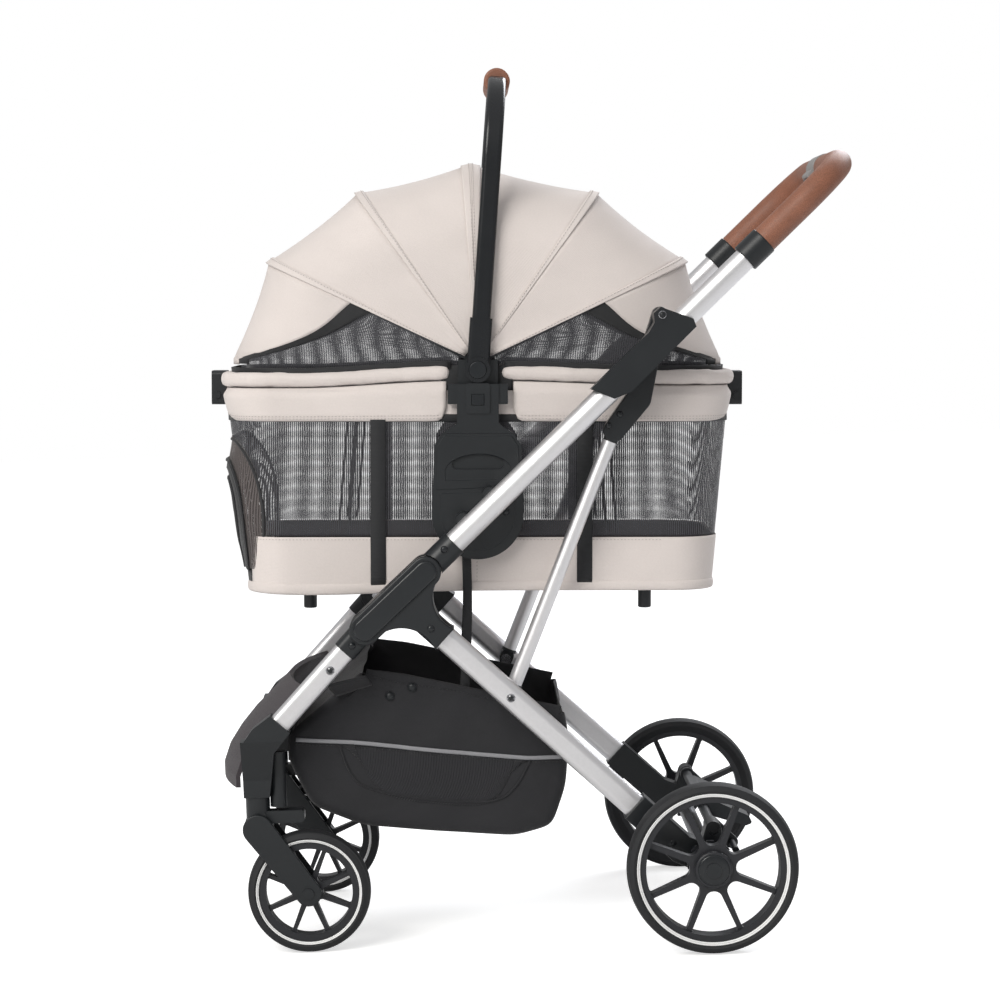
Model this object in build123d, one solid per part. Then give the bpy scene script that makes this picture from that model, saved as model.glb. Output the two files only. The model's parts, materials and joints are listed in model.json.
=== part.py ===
from build123d import *
import math
import os

# Pet stroller: a folding aluminium frame that carries a lift-off fabric pet carrier.
# Millimetres, +Z up, the stroller rolls toward -X, +Y is its right side. The side-view layout is
# written from the rear axle (x = 0 there) and moved at the end, so that the origin lies at the
# centre of the whole stroller's footprint, on the floor.

# ---- where the origin lies ----
rear_axle_x = 193.6          # rear axle behind the origin

# ---- width: every distance across the stroller follows the carrier ----
rim_half_w = 150.0

# ---- wheels ----
rear_wheel_r = 101.5
rear_wheel_y = rim_half_w + 105.0    # wheel centre from the middle plane
rear_tyre_w = 34.0
rear_hub_w = 35.0
front_wheel_r = 74.0
front_wheel_y = rim_half_w + 22.0
front_tyre_w = 28.0
spoke_count = 8
rear_rim_share = 0.84        # tyre seat radius over wheel radius
rear_window_share = 0.777    # radius where the spokes end over wheel radius
front_rim_share = 0.81
front_window_share = 0.705
axle_r = 5.0
running_gap = 0.12           # radial play of a turning fit
side_gap = 0.4               # play between faces that slide past each other

# ---- frame tubes ----
tube_y = rim_half_w + 50.0   # tube centre from the middle plane
tube_wall = 1.6
push_tube_r = 13.75
rear_leg_w = 20.0            # across the stroller
rear_leg_h = 30.0
front_leg_w = 19.0
front_leg_h = 26.0
strut_r = 8.75
strut_y = rim_half_w + 22.0

# ---- side-view layout: (x, z) from the rear axle ----
fold_pivot = (-326.0, 458.0)
leg_pivot = (-400.0, 392.0)
strut_foot = (-230.0, 303.4)
slider_pivot = (-37.6, 751.7)
push_angle = 42.5            # push tube above the floor
front_leg_angle = 226.4      # pointing forward and down
rear_leg_angle = -43.7       # pointing back and down
rear_leg_top = (-306.0, 377.5)
pin_r = 4.0

# ---- hub joint that the three tubes meet in ----
hub_r = 18.5
hub_cover_r = 13.5
tongue_w = 13.0
tongue_r = 14.0
cheek_w = 13.5
hub_clearance = 1.0
sleeve_wall = 2.0
upper_sleeve_end = 48.0
lower_sleeve_end = 37.0

# ---- push bar ----
push_bar_reach = 692.0       # centre of the top bar, along the tube from the fold pivot
push_bar_bend_r = 72.0
tube_start = 24.0
grip_r = 16.4
collar_r = 17.6
collar_end = push_bar_reach - 133.0
collar_start = collar_end - 32.0
button_len = 34.0
button_w = 13.0

# ---- slider and strut ----
slider_start = 296.0
slider_end = 430.0
slider_wall = 4.0
strut_angle = math.degrees(math.atan2(slider_pivot[1] - strut_foot[1],
                                      slider_pivot[0] - strut_foot[0]))
link_w = 17.0
link_len = 154.0

# ---- front end ----
front_leg_len = 168.0
knee_start = 152.0
caster_x = -537.5
caster_trail = 58.0
front_wheel_x = caster_x + caster_trail
fork_pivot_z = 153.0
fork_r = 18.0
fork_end_r = 15.5
fork_plate = 5.0
stem_r = 6.5
post_bottom = 191.0
post_r = 15.5
footrest_thick = 5.5

# ---- rear end ----
rear_bracket_len = 76.0
brake_pivot = (6.0, 139.0)
brake_pin = (30.0, 117.0)
brake_pin_r = 4.0
brake_gear_r = 28.0
brake_gear_w = 9.0
brake_travel = 14.0          # degrees that the pedal turns
brake_notches = 8
brake_notch_half = 6.2

# ---- carrier: lengths in its own level frame, then tilted with the frame ----
carrier_pivot = (-256.0, 693.0)
carrier_tilt = 1.9           # leans back with the seat mount
rim_half_len = 312.0
rim_corner_r = 66.0
rim_top = 7.0
rim_h = 30.0
roll_w = 22.0
rim_gap = 25.5               # half of the break in the rim at the carry handle
tub_bottom = -266.0
tub_bottom_half_len = 286.0
tub_bottom_half_w = rim_half_w - 10.0
tub_wall = 4.0
door_arch_r = 64.0
door_low = -243.0
door_high = -74.0
foot_r = 8.0
foot_len = 25.0
foot_x = 204.0
foot_y = rim_half_w - 46.0

# ---- seat mounts between carrier and frame ----
mount_y_in = rim_half_w + 0.6
mount_y_out = rim_half_w + 12.6
mount_half_w = 55.0
mount_centre_z = -172.0
mount_top = -76.0
tongue_half_w = 36.0
tongue_thick = 5.0
tongue_bottom = -136.0
seat_boss_r = 8.0

# ---- carry handle ----
arch_reach = 351.0
arch_lean = 3.9
arch_leg_w = 11.6
arch_leg_h = 25.0
arch_y = rim_half_w + 6.6
arch_corner_r = 95.0
arch_grip_r = 16.0
arch_grip_half_len = 66.0
arch_boss_r = 15.2
arch_button_r = 10.4

# ---- canopy ----
canopy_pivot_z = 9.0
canopy_skin = 1.6
canopy_half_w = rim_half_w - 0.4
canopy_corner_r = 88.0
canopy_hole_r = 31.0
rib_w = 7.0
rib_thick = 1.8
rib_pitch = 2.4
rib_drop = 4.9               # hoop's middle line under the outside of the fabric
rib_first_y = rim_half_w - 4.6
front_rib_leans = (-64.5, -35.5, -3.5)
rear_rib_leans = (64.2, 35.2, -0.5)
rib_reaches = (282.5, 252.0, 239.0)
rim_reach = 308.0

# ---- basket ----
basket_half_w = rim_half_w + 8.0
basket_skin = 2.5

Y_AXIS = (0, 1, 0)


def slab(sketch, y_from, y_to):
    """A side-view sketch made solid between two distances across the stroller."""
    low, high = min(y_from, y_to), max(y_from, y_to)
    return extrude(Plane.XZ.offset(-low) * sketch, high - low, dir=Y_AXIS)


def rod(point, radius, y_from, y_to):
    """A round bar across the stroller at a side-view point."""
    return slab(Pos(*point) * Circle(radius), y_from, y_to)


def capsule(start, end, start_r, end_r):
    """Side-view outline of two discs and the band between them."""
    discs = Pos(*start) * Circle(start_r) + Pos(*end) * Circle(end_r)
    return make_hull(discs.edges())


def along(origin, angle, reach, rise=0.0):
    """Side-view point a distance along a line at an angle, and above it."""
    cosine, sine = math.cos(math.radians(angle)), math.sin(math.radians(angle))
    return (origin[0] + reach * cosine - rise * sine, origin[1] + reach * sine + rise * cosine)


def bar(origin, angle, start, end, y, section):
    """A section drawn across a side-view line, made solid along that line."""
    first = along(origin, angle, start)
    direction = (math.cos(math.radians(angle)), 0, math.sin(math.radians(angle)))
    plane = Plane(origin=(first[0], y, first[1]), x_dir=Y_AXIS, z_dir=direction)
    return extrude(plane * section, end - start, dir=direction)


def strip(origin, angle, start, end, low, high):
    """Side-view rectangle along a line."""
    corners = [along(origin, angle, s, r) for s, r in
               ((start, low), (end, low), (end, high), (start, high))]
    return Polygon(*corners, align=None)


def right_of(shape):
    """The same piece on the other side."""
    return mirror(shape, about=Plane.XZ)


def hollow(outer_w, outer_h, corner, wall):
    """Oval tube section."""
    inner = RectangleRounded(outer_w - 2 * wall, outer_h - 2 * wall, corner - wall)
    return RectangleRounded(outer_w, outer_h, corner) - inner


def in_carrier(shape):
    """Move a piece from the carrier's level frame to its place on the stroller."""
    place = Location((carrier_pivot[0], 0, carrier_pivot[1]), (0, carrier_tilt, 0))
    return place * shape


def write(node, shape):
    """Move a piece to the shared origin and save it."""
    export_step(Pos(rear_axle_x, 0, 0) * shape, os.path.join("parts", node + ".step"))


# ---------------------------------------------------------------- wheels
def wheel_window(inner_r, outer_r, index, hub_half, rim_half):
    """The gap between two spokes: round at the hub, with small corners at the rim."""
    turn = 360 / spoke_count
    low, high = (index + 0.5) * turn, (index + 1.5) * turn
    reach = math.sqrt(outer_r ** 2 - rim_half ** 2)
    first, last = along((0, 0), low, inner_r, hub_half), along((0, 0), high, inner_r, -hub_half)
    rim_first, rim_last = along((0, 0), low, reach, rim_half), along((0, 0), high, reach, -rim_half)
    middle = along((0, 0), (low + high) / 2, outer_r)
    gap = make_face(Wire([Line(first, rim_first), ThreePointArc(rim_first, middle, rim_last),
                          Line(rim_last, last), Line(last, first)]))
    by_reach = gap.vertices().sort_by(lambda corner: math.hypot(corner.X, corner.Y))
    gap = fillet(by_reach[2:], 2.0)
    by_reach = gap.vertices().sort_by(lambda corner: math.hypot(corner.X, corner.Y))
    return fillet(by_reach[:2], math.dist(first, last) * 0.7)


def wheel(radius, width, rim, window, hub_r, hub_w, bore_r, spoke_w):
    """Moulded wheel: rim, spokes that flare into the hub, and a dished cap boss."""
    seat_r = radius * rim
    window_r = radius * window
    disc = Circle(window_r + 1)
    for index in range(spoke_count):
        disc -= wheel_window(hub_r * 1.26, window_r, index, spoke_w * 0.55, spoke_w * 0.4)
    web = slab(disc, -width * 0.22, width * 0.22)
    groove = radius * 0.018
    half = width * 0.36
    rim_section = Polygon((window_r, -half), (seat_r, -half), (seat_r, half), (window_r, half),
                          align=None)
    rim_section -= Pos(window_r, 0) * Rectangle(2 * groove, width * 0.3)
    rim = revolve(Plane.XY * rim_section, Axis.Y)
    web += rim
    hub = rod((0, 0), hub_r, -hub_w / 2, hub_w / 2)
    web = web + fillet(hub.edges().filter_by(GeomType.CIRCLE), hub_r * 0.12)
    return web - rod((0, 0), bore_r, -hub_w, hub_w)


def tyre(radius, width, rim):
    """Solid foam tyre with a crowned tread, seated on the rim."""
    seat_r = radius * rim
    shoulder = width * 0.5
    section = Polygon((seat_r, -width * 0.36), (radius - 8, -shoulder), (radius - 3, -shoulder * 0.82),
                      (radius - 3, shoulder * 0.82), (radius - 8, shoulder), (seat_r, width * 0.36),
                      align=None)
    crown = Pos(radius - 3 - 40 + 3, 0) * Circle(40)
    band = Polygon((radius - 6, -shoulder * 0.82), (radius + 1, -shoulder * 0.82),
                   (radius + 1, shoulder * 0.82), (radius - 6, shoulder * 0.82), align=None)
    section += crown & band
    return revolve(Plane.XY * section, Axis.Y)


# ---------------------------------------------------------------- frame
def hub_outline():
    """Capsule over both pivots with the rear arm flaring out of it."""
    mouth_high = along(rear_leg_top, rear_leg_angle, 0, rear_leg_h / 2 + 1.5)
    mouth_low = along(rear_leg_top, rear_leg_angle, 0, -rear_leg_h / 2 - 1.5)
    flare_high = along(fold_pivot, 41.7 - 90, hub_r * 0.98)
    flare_low = (-378.5, 387.5)
    edge = [ThreePointArc(flare_high, (-317.5, 419.0), mouth_high), Line(mouth_high, mouth_low),
            ThreePointArc(mouth_low, (-347.0, 391.0), flare_low), Line(flare_low, flare_high)]
    web = make_face(Wire(edge))
    return capsule(fold_pivot, leg_pivot, hub_r, hub_r) + web


def hub():
    """Two cheeks and a core, with a socket for the rear leg and a raised outer cover."""
    outline = hub_outline()
    half_tongue = tongue_w / 2 + side_gap
    core = outline
    for pivot in (fold_pivot, leg_pivot):
        core -= Pos(*pivot) * Circle(hub_r + 2 * hub_clearance)
    core -= strip(leg_pivot, front_leg_angle + 42, 0, 60, -17, 17)
    core -= strip(fold_pivot, push_angle + 90, 0, 60, -30, 30)
    body = slab(outline, -tube_y - half_tongue - cheek_w, -tube_y - half_tongue)
    body = fillet(body.faces().sort_by(Axis.Y)[0].edges(), 2.5)
    body += slab(outline, -tube_y + half_tongue, -tube_y + half_tongue + cheek_w)
    body += slab(core, -tube_y - half_tongue - 1, -tube_y + half_tongue + 1)
    cover_y = -tube_y - half_tongue - cheek_w
    cover = slab(capsule(fold_pivot, leg_pivot, hub_cover_r, hub_cover_r), cover_y - 3.5, cover_y + 1)
    body += fillet(cover.faces().sort_by(Axis.Y)[0].edges(), 3.0)
    body += bar(rear_leg_top, rear_leg_angle, -38, 0, -tube_y,
                RectangleRounded(rear_leg_w + 8, rear_leg_h + 3, 11))
    body -= bar(rear_leg_top, rear_leg_angle, -26, 1, -tube_y,
                RectangleRounded(rear_leg_w, rear_leg_h, 9))
    for pivot in (fold_pivot, leg_pivot):
        body -= slab(Pos(*pivot) * Circle(hub_r + hub_clearance), -tube_y - half_tongue,
                     -tube_y + half_tongue)
        body -= rod(pivot, pin_r, -tube_y - half_tongue - cheek_w, -tube_y + half_tongue + cheek_w)
    return body


def pivot_sleeve(pivot, angle, end, section, bore):
    """Tongue that turns in the hub and the sleeve that a tube is pushed into."""
    sleeve = bar(pivot, angle, hub_r * 0.5, end, -tube_y, section)
    sleeve -= rod(pivot, hub_r + hub_clearance, -tube_y - 30, -tube_y + 30)
    tongue = slab(capsule(pivot, along(pivot, angle, hub_r + 6), tongue_r, tongue_r - 1),
                  -tube_y - tongue_w / 2, -tube_y + tongue_w / 2)
    sleeve += tongue
    sleeve -= bar(pivot, angle, tube_start, end + 1, -tube_y, bore)
    return sleeve - rod(pivot, pin_r + running_gap, -tube_y - 20, -tube_y + 20)


def rear_leg():
    length = math.dist(rear_leg_top, (-30.0, 112.0))
    tube = bar(rear_leg_top, rear_leg_angle, -26, length, -tube_y,
               hollow(rear_leg_w, rear_leg_h, 9, tube_wall))
    return tube


def front_leg():
    return bar(leg_pivot, front_leg_angle, tube_start, front_leg_len, -tube_y,
               hollow(front_leg_w, front_leg_h, 8.5, tube_wall))


def push_tube():
    """One tube bent into a U: both sides and the bar that the hands hold."""
    low = along(fold_pivot, push_angle, tube_start)
    high = along(fold_pivot, push_angle, push_bar_reach)
    path = FilletPolyline((low[0], -tube_y, low[1]), (high[0], -tube_y, high[1]),
                          (high[0], tube_y, high[1]), (low[0], tube_y, low[1]),
                          radius=push_bar_bend_r)
    section = Circle(push_tube_r) - Circle(push_tube_r - tube_wall)
    return sweep(Plane(origin=path @ 0, z_dir=path % 0) * section, path)


def push_grip():
    """Leather sleeve over the bend, left open in the middle for the release."""
    low = along(fold_pivot, push_angle, collar_end)
    high = along(fold_pivot, push_angle, push_bar_reach)
    path = FilletPolyline((low[0], -tube_y, low[1]), (high[0], -tube_y, high[1]),
                          (high[0], -button_len, high[1]), radius=push_bar_bend_r)
    section = Circle(grip_r) - Circle(push_tube_r)
    return sweep(Plane(origin=path @ 0, z_dir=path % 0) * section, path)


def release_housing():
    """Plastic shell round the middle of the bar, with a well for the button."""
    centre = along(fold_pivot, push_angle, push_bar_reach)
    shell = rod(centre, grip_r + 1.2, -button_len, button_len)
    shell = fillet(shell.edges().filter_by(GeomType.CIRCLE), 0.8)
    nose = slab(strip(centre, push_angle, -grip_r - 7, 0, -11, 11), -button_len + 4, button_len - 4)
    shell += fillet(nose.edges().filter_by(Axis.Y), 4)
    shell -= rod(centre, push_tube_r, -button_len - 1, button_len + 1)
    well = slab(strip(centre, push_angle, -grip_r - 10, -push_tube_r - 1, -button_w / 2 - side_gap,
                      button_w / 2 + side_gap), -20 - side_gap, 20 + side_gap)
    return shell - well


def release_button():
    centre = along(fold_pivot, push_angle, push_bar_reach)
    key = slab(strip(centre, push_angle, -grip_r - 10, -push_tube_r - 1 - 3.5, -button_w / 2,
                     button_w / 2), -20, 20)
    return fillet(key.edges().filter_by(Axis.Y), 1.5)


def collar():
    ring = bar(fold_pivot, push_angle, collar_start, collar_end, -tube_y, Circle(collar_r))
    ring = fillet(ring.edges().filter_by(GeomType.CIRCLE), 1.6)
    return ring - bar(fold_pivot, push_angle, collar_start - 1, collar_end + 1, -tube_y,
                      Circle(push_tube_r))


def slider():
    """Moulded shoe that runs on the push tube, with the ear that carries the strut."""
    ear_s = (slider_pivot[0] - fold_pivot[0]) * math.cos(math.radians(push_angle)) + \
            (slider_pivot[1] - fold_pivot[1]) * math.sin(math.radians(push_angle))
    outer = push_tube_r + slider_wall
    points = [along(fold_pivot, push_angle, s, r) for s, r in
              ((slider_start - 6, outer), (slider_start + 6, -outer * 0.55),
               (slider_start + 26, -outer), (slider_end, -outer + 1.5),
               (slider_end + 4, -outer * 0.4), (ear_s + 5, 29.5), (ear_s - 6, 30),
               (ear_s - 13, 21.5), (ear_s - 26, outer))]
    cheek = slab(Polygon(*points, align=None), -tube_y - outer, -tube_y + outer)
    shoe = cheek & (bar(fold_pivot, push_angle, slider_start - 10, slider_end + 10, -tube_y,
                        RectangleRounded(2 * outer, 2 * outer, 8))
                    + slab(Polygon(*points, align=None), -tube_y - outer, -tube_y - outer + 5)
                    + slab(Pos(*slider_pivot) * Circle(30), -tube_y - outer, -tube_y + outer))
    shoe -= bar(fold_pivot, push_angle, slider_start - 20, slider_end + 20, -tube_y,
                Circle(push_tube_r + running_gap))
    return shoe


def strut():
    start, end = 14.0, math.dist(strut_foot, slider_pivot) - link_len - 8
    return bar(strut_foot, strut_angle, start, end, -strut_y,
               Circle(strut_r) - Circle(strut_r - tube_wall))


def strut_fittings():
    """Link plate at the top of the strut and the clevis foot at its bottom."""
    total = math.dist(strut_foot, slider_pivot)
    low = total - link_len
    elbow = along(strut_foot, strut_angle, low + 52, -13)
    plate = capsule(along(strut_foot, strut_angle, low + 6), elbow, 13, 15)
    plate += capsule(elbow, slider_pivot, 15, 9.5)
    link = slab(plate, -strut_y - link_w / 2, -strut_y + link_w / 2)
    link = fillet(link.faces().sort_by(Axis.Y)[0].edges(), 1.5)
    link += bar(strut_foot, strut_angle, low - 8, low + 2, -strut_y, Circle(strut_r - 0.25))
    link += bar(strut_foot, strut_angle, low - 34, low + 2, -strut_y, Circle(strut_r - tube_wall))
    plug = bar(strut_foot, strut_angle, 0, 34, -strut_y, Circle(strut_r - tube_wall))
    plug += bar(strut_foot, strut_angle, 10, 14, -strut_y, Circle(strut_r + 1))
    ear = slab(capsule(strut_foot, along(strut_foot, strut_angle, 5), strut_r, strut_r - 0.1),
               -strut_y - strut_r, -strut_y + strut_r)
    foot = plug + ear
    foot -= rod(strut_foot, pin_r + running_gap, -strut_y - 30, -strut_y + 30)
    return Compound(children=[link, foot])


def frame_pins():
    """Pivot pins: two in each hub, one under each strut, one stub on each slider side."""
    pins = []
    half = tongue_w / 2 + side_gap + cheek_w
    for pivot in (fold_pivot, leg_pivot):
        pins.append(rod(pivot, pin_r, -tube_y - half, -tube_y + half))
    head = rod(strut_foot, pin_r + 3, -strut_y + strut_r + side_gap, -strut_y + strut_r + 3)
    shank = rod(strut_foot, pin_r, -tube_y + rear_leg_w / 2, -strut_y + strut_r + 1)
    washer = rod(strut_foot, pin_r + 3.5, -tube_y + rear_leg_w / 2, -strut_y - strut_r - side_gap)
    pins.append(head + shank + washer)
    return Compound(children=pins + [right_of(pin) for pin in pins])


# ---------------------------------------------------------------- front end
def knee():
    """Casting from the leg down to the caster post, drawn inward to the wheel line."""
    lip = front_leg_h / 2 + 2.5
    sleeve = strip(leg_pivot, front_leg_angle, knee_start, front_leg_len + 4, -lip, lip)
    post = Pos(caster_x, (post_bottom + 262) / 2) * Rectangle(2 * post_r, 262 - post_bottom)
    gusset = Polygon(along(leg_pivot, front_leg_angle, knee_start, -lip), (caster_x - 0.5, 277),
                     (caster_x - 11.5, 262),
                     (caster_x - post_r, 244), (caster_x - post_r, post_bottom),
                     (caster_x + post_r, post_bottom), (caster_x + post_r + 8, 246),
                     along(leg_pivot, front_leg_angle, knee_start, lip), align=None)
    side = sleeve + post + gusset
    top_y, low_y = -tube_y - 13, -front_wheel_y - post_r
    front = Polygon((top_y, 320), (top_y, 262), (low_y - 2, 212), (low_y, post_bottom - 1),
                    (-front_wheel_y + post_r, post_bottom - 1), (-front_wheel_y + post_r, 236),
                    (-tube_y + 13, 268), (-tube_y + 13, 320), align=None)
    body = slab(side, -240, -130) & extrude(Plane.YZ.offset(-600) * front, 160)
    spring_tube = Pos(caster_x + post_r + 9.5, -front_wheel_y, 178) * Cylinder(
        10, 66, align=(Align.CENTER, Align.CENTER, Align.MIN))
    body += spring_tube
    body -= bar(leg_pivot, front_leg_angle, 100, front_leg_len, -tube_y,
                RectangleRounded(front_leg_w, front_leg_h, 8.5))
    bore = Pos(caster_x, -front_wheel_y, post_bottom - 1) * Cylinder(
        stem_r + running_gap, 44, align=(Align.CENTER, Align.CENTER, Align.MIN))
    return body - bore


def footrest():
    """Bowed panel between the legs that the feet rest on and that braces the front."""
    front_line = ((-503, 320), (-531, 292), (-550, 274), (-568, 253), (-582, 232), (-589, 213),
                  (-589, 199))
    back_line = []
    for index, (x, z) in enumerate(front_line):
        before, after = front_line[max(index - 1, 0)], front_line[min(index + 1, 6)]
        slope = math.atan2(after[1] - before[1], after[0] - before[0])
        back_line.append((x - footrest_thick * math.sin(slope), z + footrest_thick * math.cos(slope)))
    profile = front_line + tuple(reversed(back_line))
    sections = []
    for y, back in ((-186, 36), (-95, 9), (0, 0), (95, 9), (186, 36)):
        moved = [(x + back, z) for x, z in profile]
        sections.append(Plane.XZ.offset(-y) * Polygon(*moved, align=None))
    panel = loft(sections)
    inner = front_wheel_y - post_r - 0.3
    edge = tube_y - 13.3
    front = Polygon((-edge, 330), (-edge, 268), (-inner, 236), (-inner, 180), (inner, 180),
                    (inner, 236), (edge, 268), (edge, 330), align=None)
    return panel & extrude(Plane.YZ.offset(-640) * front, 200)


def fork():
    """Two plates on a swivel crown, with the wheel's bolt through their ends."""
    head = (caster_x, fork_pivot_z)
    wheel_centre = (front_wheel_x, front_wheel_r)
    inner = front_tyre_w / 2 + 3
    body = None
    for side in (-1, 1):
        plate = slab(capsule(head, wheel_centre, fork_r, fork_end_r),
                     -front_wheel_y + side * inner, -front_wheel_y + side * (inner + fork_plate))
        face = plate.faces().sort_by(Axis.Y)[0 if side < 0 else -1]
        plate = fillet(face.edges(), 1.4)
        body = plate if body is None else body + plate
    body += rod(head, fork_r - 0.5, -front_wheel_y - inner - 1, -front_wheel_y + inner + 1)
    crown = Pos(caster_x, -front_wheel_y, fork_pivot_z) * Cylinder(
        post_r - 1, post_bottom - 0.4 - fork_pivot_z, align=(Align.CENTER, Align.CENTER, Align.MIN))
    stem = Pos(caster_x, -front_wheel_y, fork_pivot_z) * Cylinder(
        stem_r, post_bottom + 42 - fork_pivot_z, align=(Align.CENTER, Align.CENTER, Align.MIN))
    knob = Pos(caster_x + 31, -front_wheel_y, 166) * Box(50, 20, 15)
    knob = fillet(knob.edges().filter_by(Axis.Y), 5)
    body += crown + stem + knob
    reach = inner + fork_plate
    body += rod(wheel_centre, axle_r, -front_wheel_y - reach, -front_wheel_y + reach)
    for side in (-1, 1):
        body += rod(wheel_centre, 6.5, -front_wheel_y + side * reach,
                    -front_wheel_y + side * (reach + 2))
    return body


# ---------------------------------------------------------------- rear end
def rear_bracket():
    """Sleeve on the leg that turns into the axle boss and the ear of the brake."""
    start = along(rear_leg_top, rear_leg_angle, 302)
    end = along(rear_leg_top, rear_leg_angle, 302 + rear_bracket_len)
    half = rear_leg_h / 2 + 2.5
    outline = strip(start, rear_leg_angle, 0, rear_bracket_len, -half, half)
    outline += capsule(end, (0, rear_wheel_r), half, 18)
    outline += capsule((0, rear_wheel_r), brake_pivot, 15, 9.5)
    body = slab(outline, -tube_y - rear_leg_w / 2 - 5, -tube_y + rear_leg_w / 2 + 5)
    body = fillet(body.faces().sort_by(Axis.Y)[0].edges(), 2)
    body += rod((0, rear_wheel_r), 14, -rear_wheel_y + 26.9, -tube_y)
    body -= bar(rear_leg_top, rear_leg_angle, 300, math.dist(rear_leg_top, (-30.0, 112.0)),
                -tube_y, RectangleRounded(rear_leg_w, rear_leg_h, 9))
    body -= rod((0, rear_wheel_r), axle_r, -300, -100)
    body -= rod(brake_pivot, 6 + running_gap, -300, -100)
    return body


def rear_axle():
    """Steel axle inside a cross tube, with a cap at each end."""
    centre = (0, rear_wheel_r)
    inner = tube_y - rear_leg_w / 2 - 5
    end = rear_wheel_y + rear_tyre_w / 2 + 3
    shaft = rod(centre, axle_r, -end, end) + rod(centre, 10, -inner, inner)
    for side in (-1, 1):
        shaft += rod(centre, 9, side * (end - 1), side * (end + 1.5))
    return shaft


def brake_gear():
    """Notched disc on the inner end of a rear wheel's hub."""
    ring = Circle(brake_gear_r)
    reach = math.dist(brake_pivot, brake_pin)
    start = math.degrees(math.atan2(brake_pin[1] - brake_pivot[1], brake_pin[0] - brake_pivot[0]))
    pressed = along(brake_pivot, start - brake_travel, reach)
    depth = math.hypot(pressed[0], pressed[1] - rear_wheel_r) - brake_pin_r - running_gap
    first = math.degrees(math.atan2(pressed[1] - rear_wheel_r, pressed[0]))
    for index in range(brake_notches):
        angle = first + 360 * index / brake_notches
        ring -= strip((0, 0), angle, depth - 1, brake_gear_r + 5, -brake_notch_half, brake_notch_half)
    ring -= Circle(axle_r + running_gap)
    hub_end = rear_hub_w / 2
    return slab(ring, hub_end, hub_end + brake_gear_w)


def brake_pedal():
    """Cross shaft, two lock arms and the foot plate."""
    inner = tube_y - rear_leg_w / 2 - 5
    shaft = rod(brake_pivot, 6, -inner - 28, inner + 28)
    body = shaft
    for side in (-1, 1):
        arm = capsule(brake_pivot, brake_pin, 9, 7.5)
        body += slab(arm, side * (inner - 12), side * (inner - 1))
        body += rod(brake_pin, brake_pin_r, side * (inner - 12), side * (rear_wheel_y - 19))
    pedal = Polygon((brake_pivot[0] - 14, brake_pivot[1] + 17), (brake_pivot[0] + 2, brake_pivot[1] + 15),
                    (62, 128), (66, 119), (58, 116), (brake_pivot[0] - 4, brake_pivot[1] - 5),
                    align=None)
    plate = slab(fillet(pedal.vertices(), 3), -78, 78)
    return body + plate


# ---------------------------------------------------------------- seat mounts
def receiver():
    """Oval cup on the push tube that the carrier's tongue drops into."""
    low = Pos(0, mount_centre_z) * Circle(mount_half_w)
    shoulder = Polygon((-mount_half_w, mount_centre_z), (mount_half_w, mount_centre_z),
                       (mount_half_w - 3, mount_top - 14), (mount_half_w - 12, mount_top),
                       (-mount_half_w + 12, mount_top), (-mount_half_w + 3, mount_top - 14),
                       align=None)
    cup = in_carrier(slab(low + shoulder, -mount_y_out, -mount_y_in))
    pocket = Pos(0, (tongue_bottom - 4 + mount_top + 1) / 2) * Rectangle(
        2 * tongue_half_w + 2 * side_gap, mount_top + 1 - tongue_bottom + 4)
    middle = -(mount_y_in + mount_y_out) / 2
    half = tongue_thick / 2 + side_gap
    cup -= in_carrier(slab(pocket, middle - half, middle + half))
    window = fillet((Pos(0, mount_top - 30) * Rectangle(62, 26)).vertices(), 6)
    cup -= in_carrier(slab(window, -mount_y_out - 1, middle))
    for reach in (74.0, 118.0):
        centre = along(fold_pivot, push_angle, reach, push_tube_r - 2)
        boss = rod(centre, seat_boss_r, -mount_y_out + 1, -tube_y + 6)
        boss -= bar(fold_pivot, push_angle, reach - 20, reach + 20, -tube_y, Circle(push_tube_r + 0.05))
        cup += boss
    return cup


def adapter():
    """Rim rail, release bracket and tongue of one carrier side."""
    rail = slab(Pos(0, -29) * Rectangle(72, 24), -mount_y_out + 2, -rim_half_w)
    seat = mount_top + 0.3
    bracket = slab(Pos(0, (seat - 17) / 2) * Rectangle(50, -17 - seat), -mount_y_out, -rim_half_w)
    flare = Polygon((-25, mount_top + 12), (25, mount_top + 12), (42, seat), (-42, seat), align=None)
    body = rail + bracket + slab(flare, -mount_y_out, -mount_y_in)
    middle = -(mount_y_in + mount_y_out) / 2
    tongue = Pos(0, (tongue_bottom + mount_top + 2) / 2) * Rectangle(
        2 * tongue_half_w, mount_top + 2 - tongue_bottom)
    tongue = fillet(tongue.vertices().group_by(Axis.Y)[0], 12)
    body += slab(tongue, middle - tongue_thick / 2, middle + tongue_thick / 2)
    key_plate = slab(Pos(0, -34) * RectangleRounded(29, 36, 3), -mount_y_out - 2, -mount_y_out + 1)
    body += key_plate
    body -= slab(Pos(0, -35.5) * Rectangle(15 + 2 * side_gap, 13 + 2 * side_gap),
                 -mount_y_out - 3, -mount_y_out + 6)
    return in_carrier(body)


def pivot_plate():
    """Plate in the break of the rim with the pins of the carry handle and the hoops."""
    plate = slab(Pos(0, -6) * Rectangle(2 * rim_gap - 3, 36), -rim_half_w, -rim_half_w + 3.2)
    plate += rod((0, 0), 5, -arch_y - 2, -rim_half_w + 1)
    plate += rod((0, canopy_pivot_z), 2.4, -rim_half_w + 1, -rib_first_y + 6 * rib_pitch)
    return in_carrier(plate)


def adapter_button():
    key = slab(Pos(0, -35.5) * Rectangle(15, 13), -mount_y_out - 2.6, -mount_y_out + 2.4)
    return in_carrier(fillet(key.faces().sort_by(Axis.Y)[0].edges(), 1))


# ---------------------------------------------------------------- carrier
def rounded_rectangle(half_len, half_w, corner, z):
    return Plane.XY.offset(z) * RectangleRounded(2 * half_len, 2 * half_w, corner)


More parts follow.
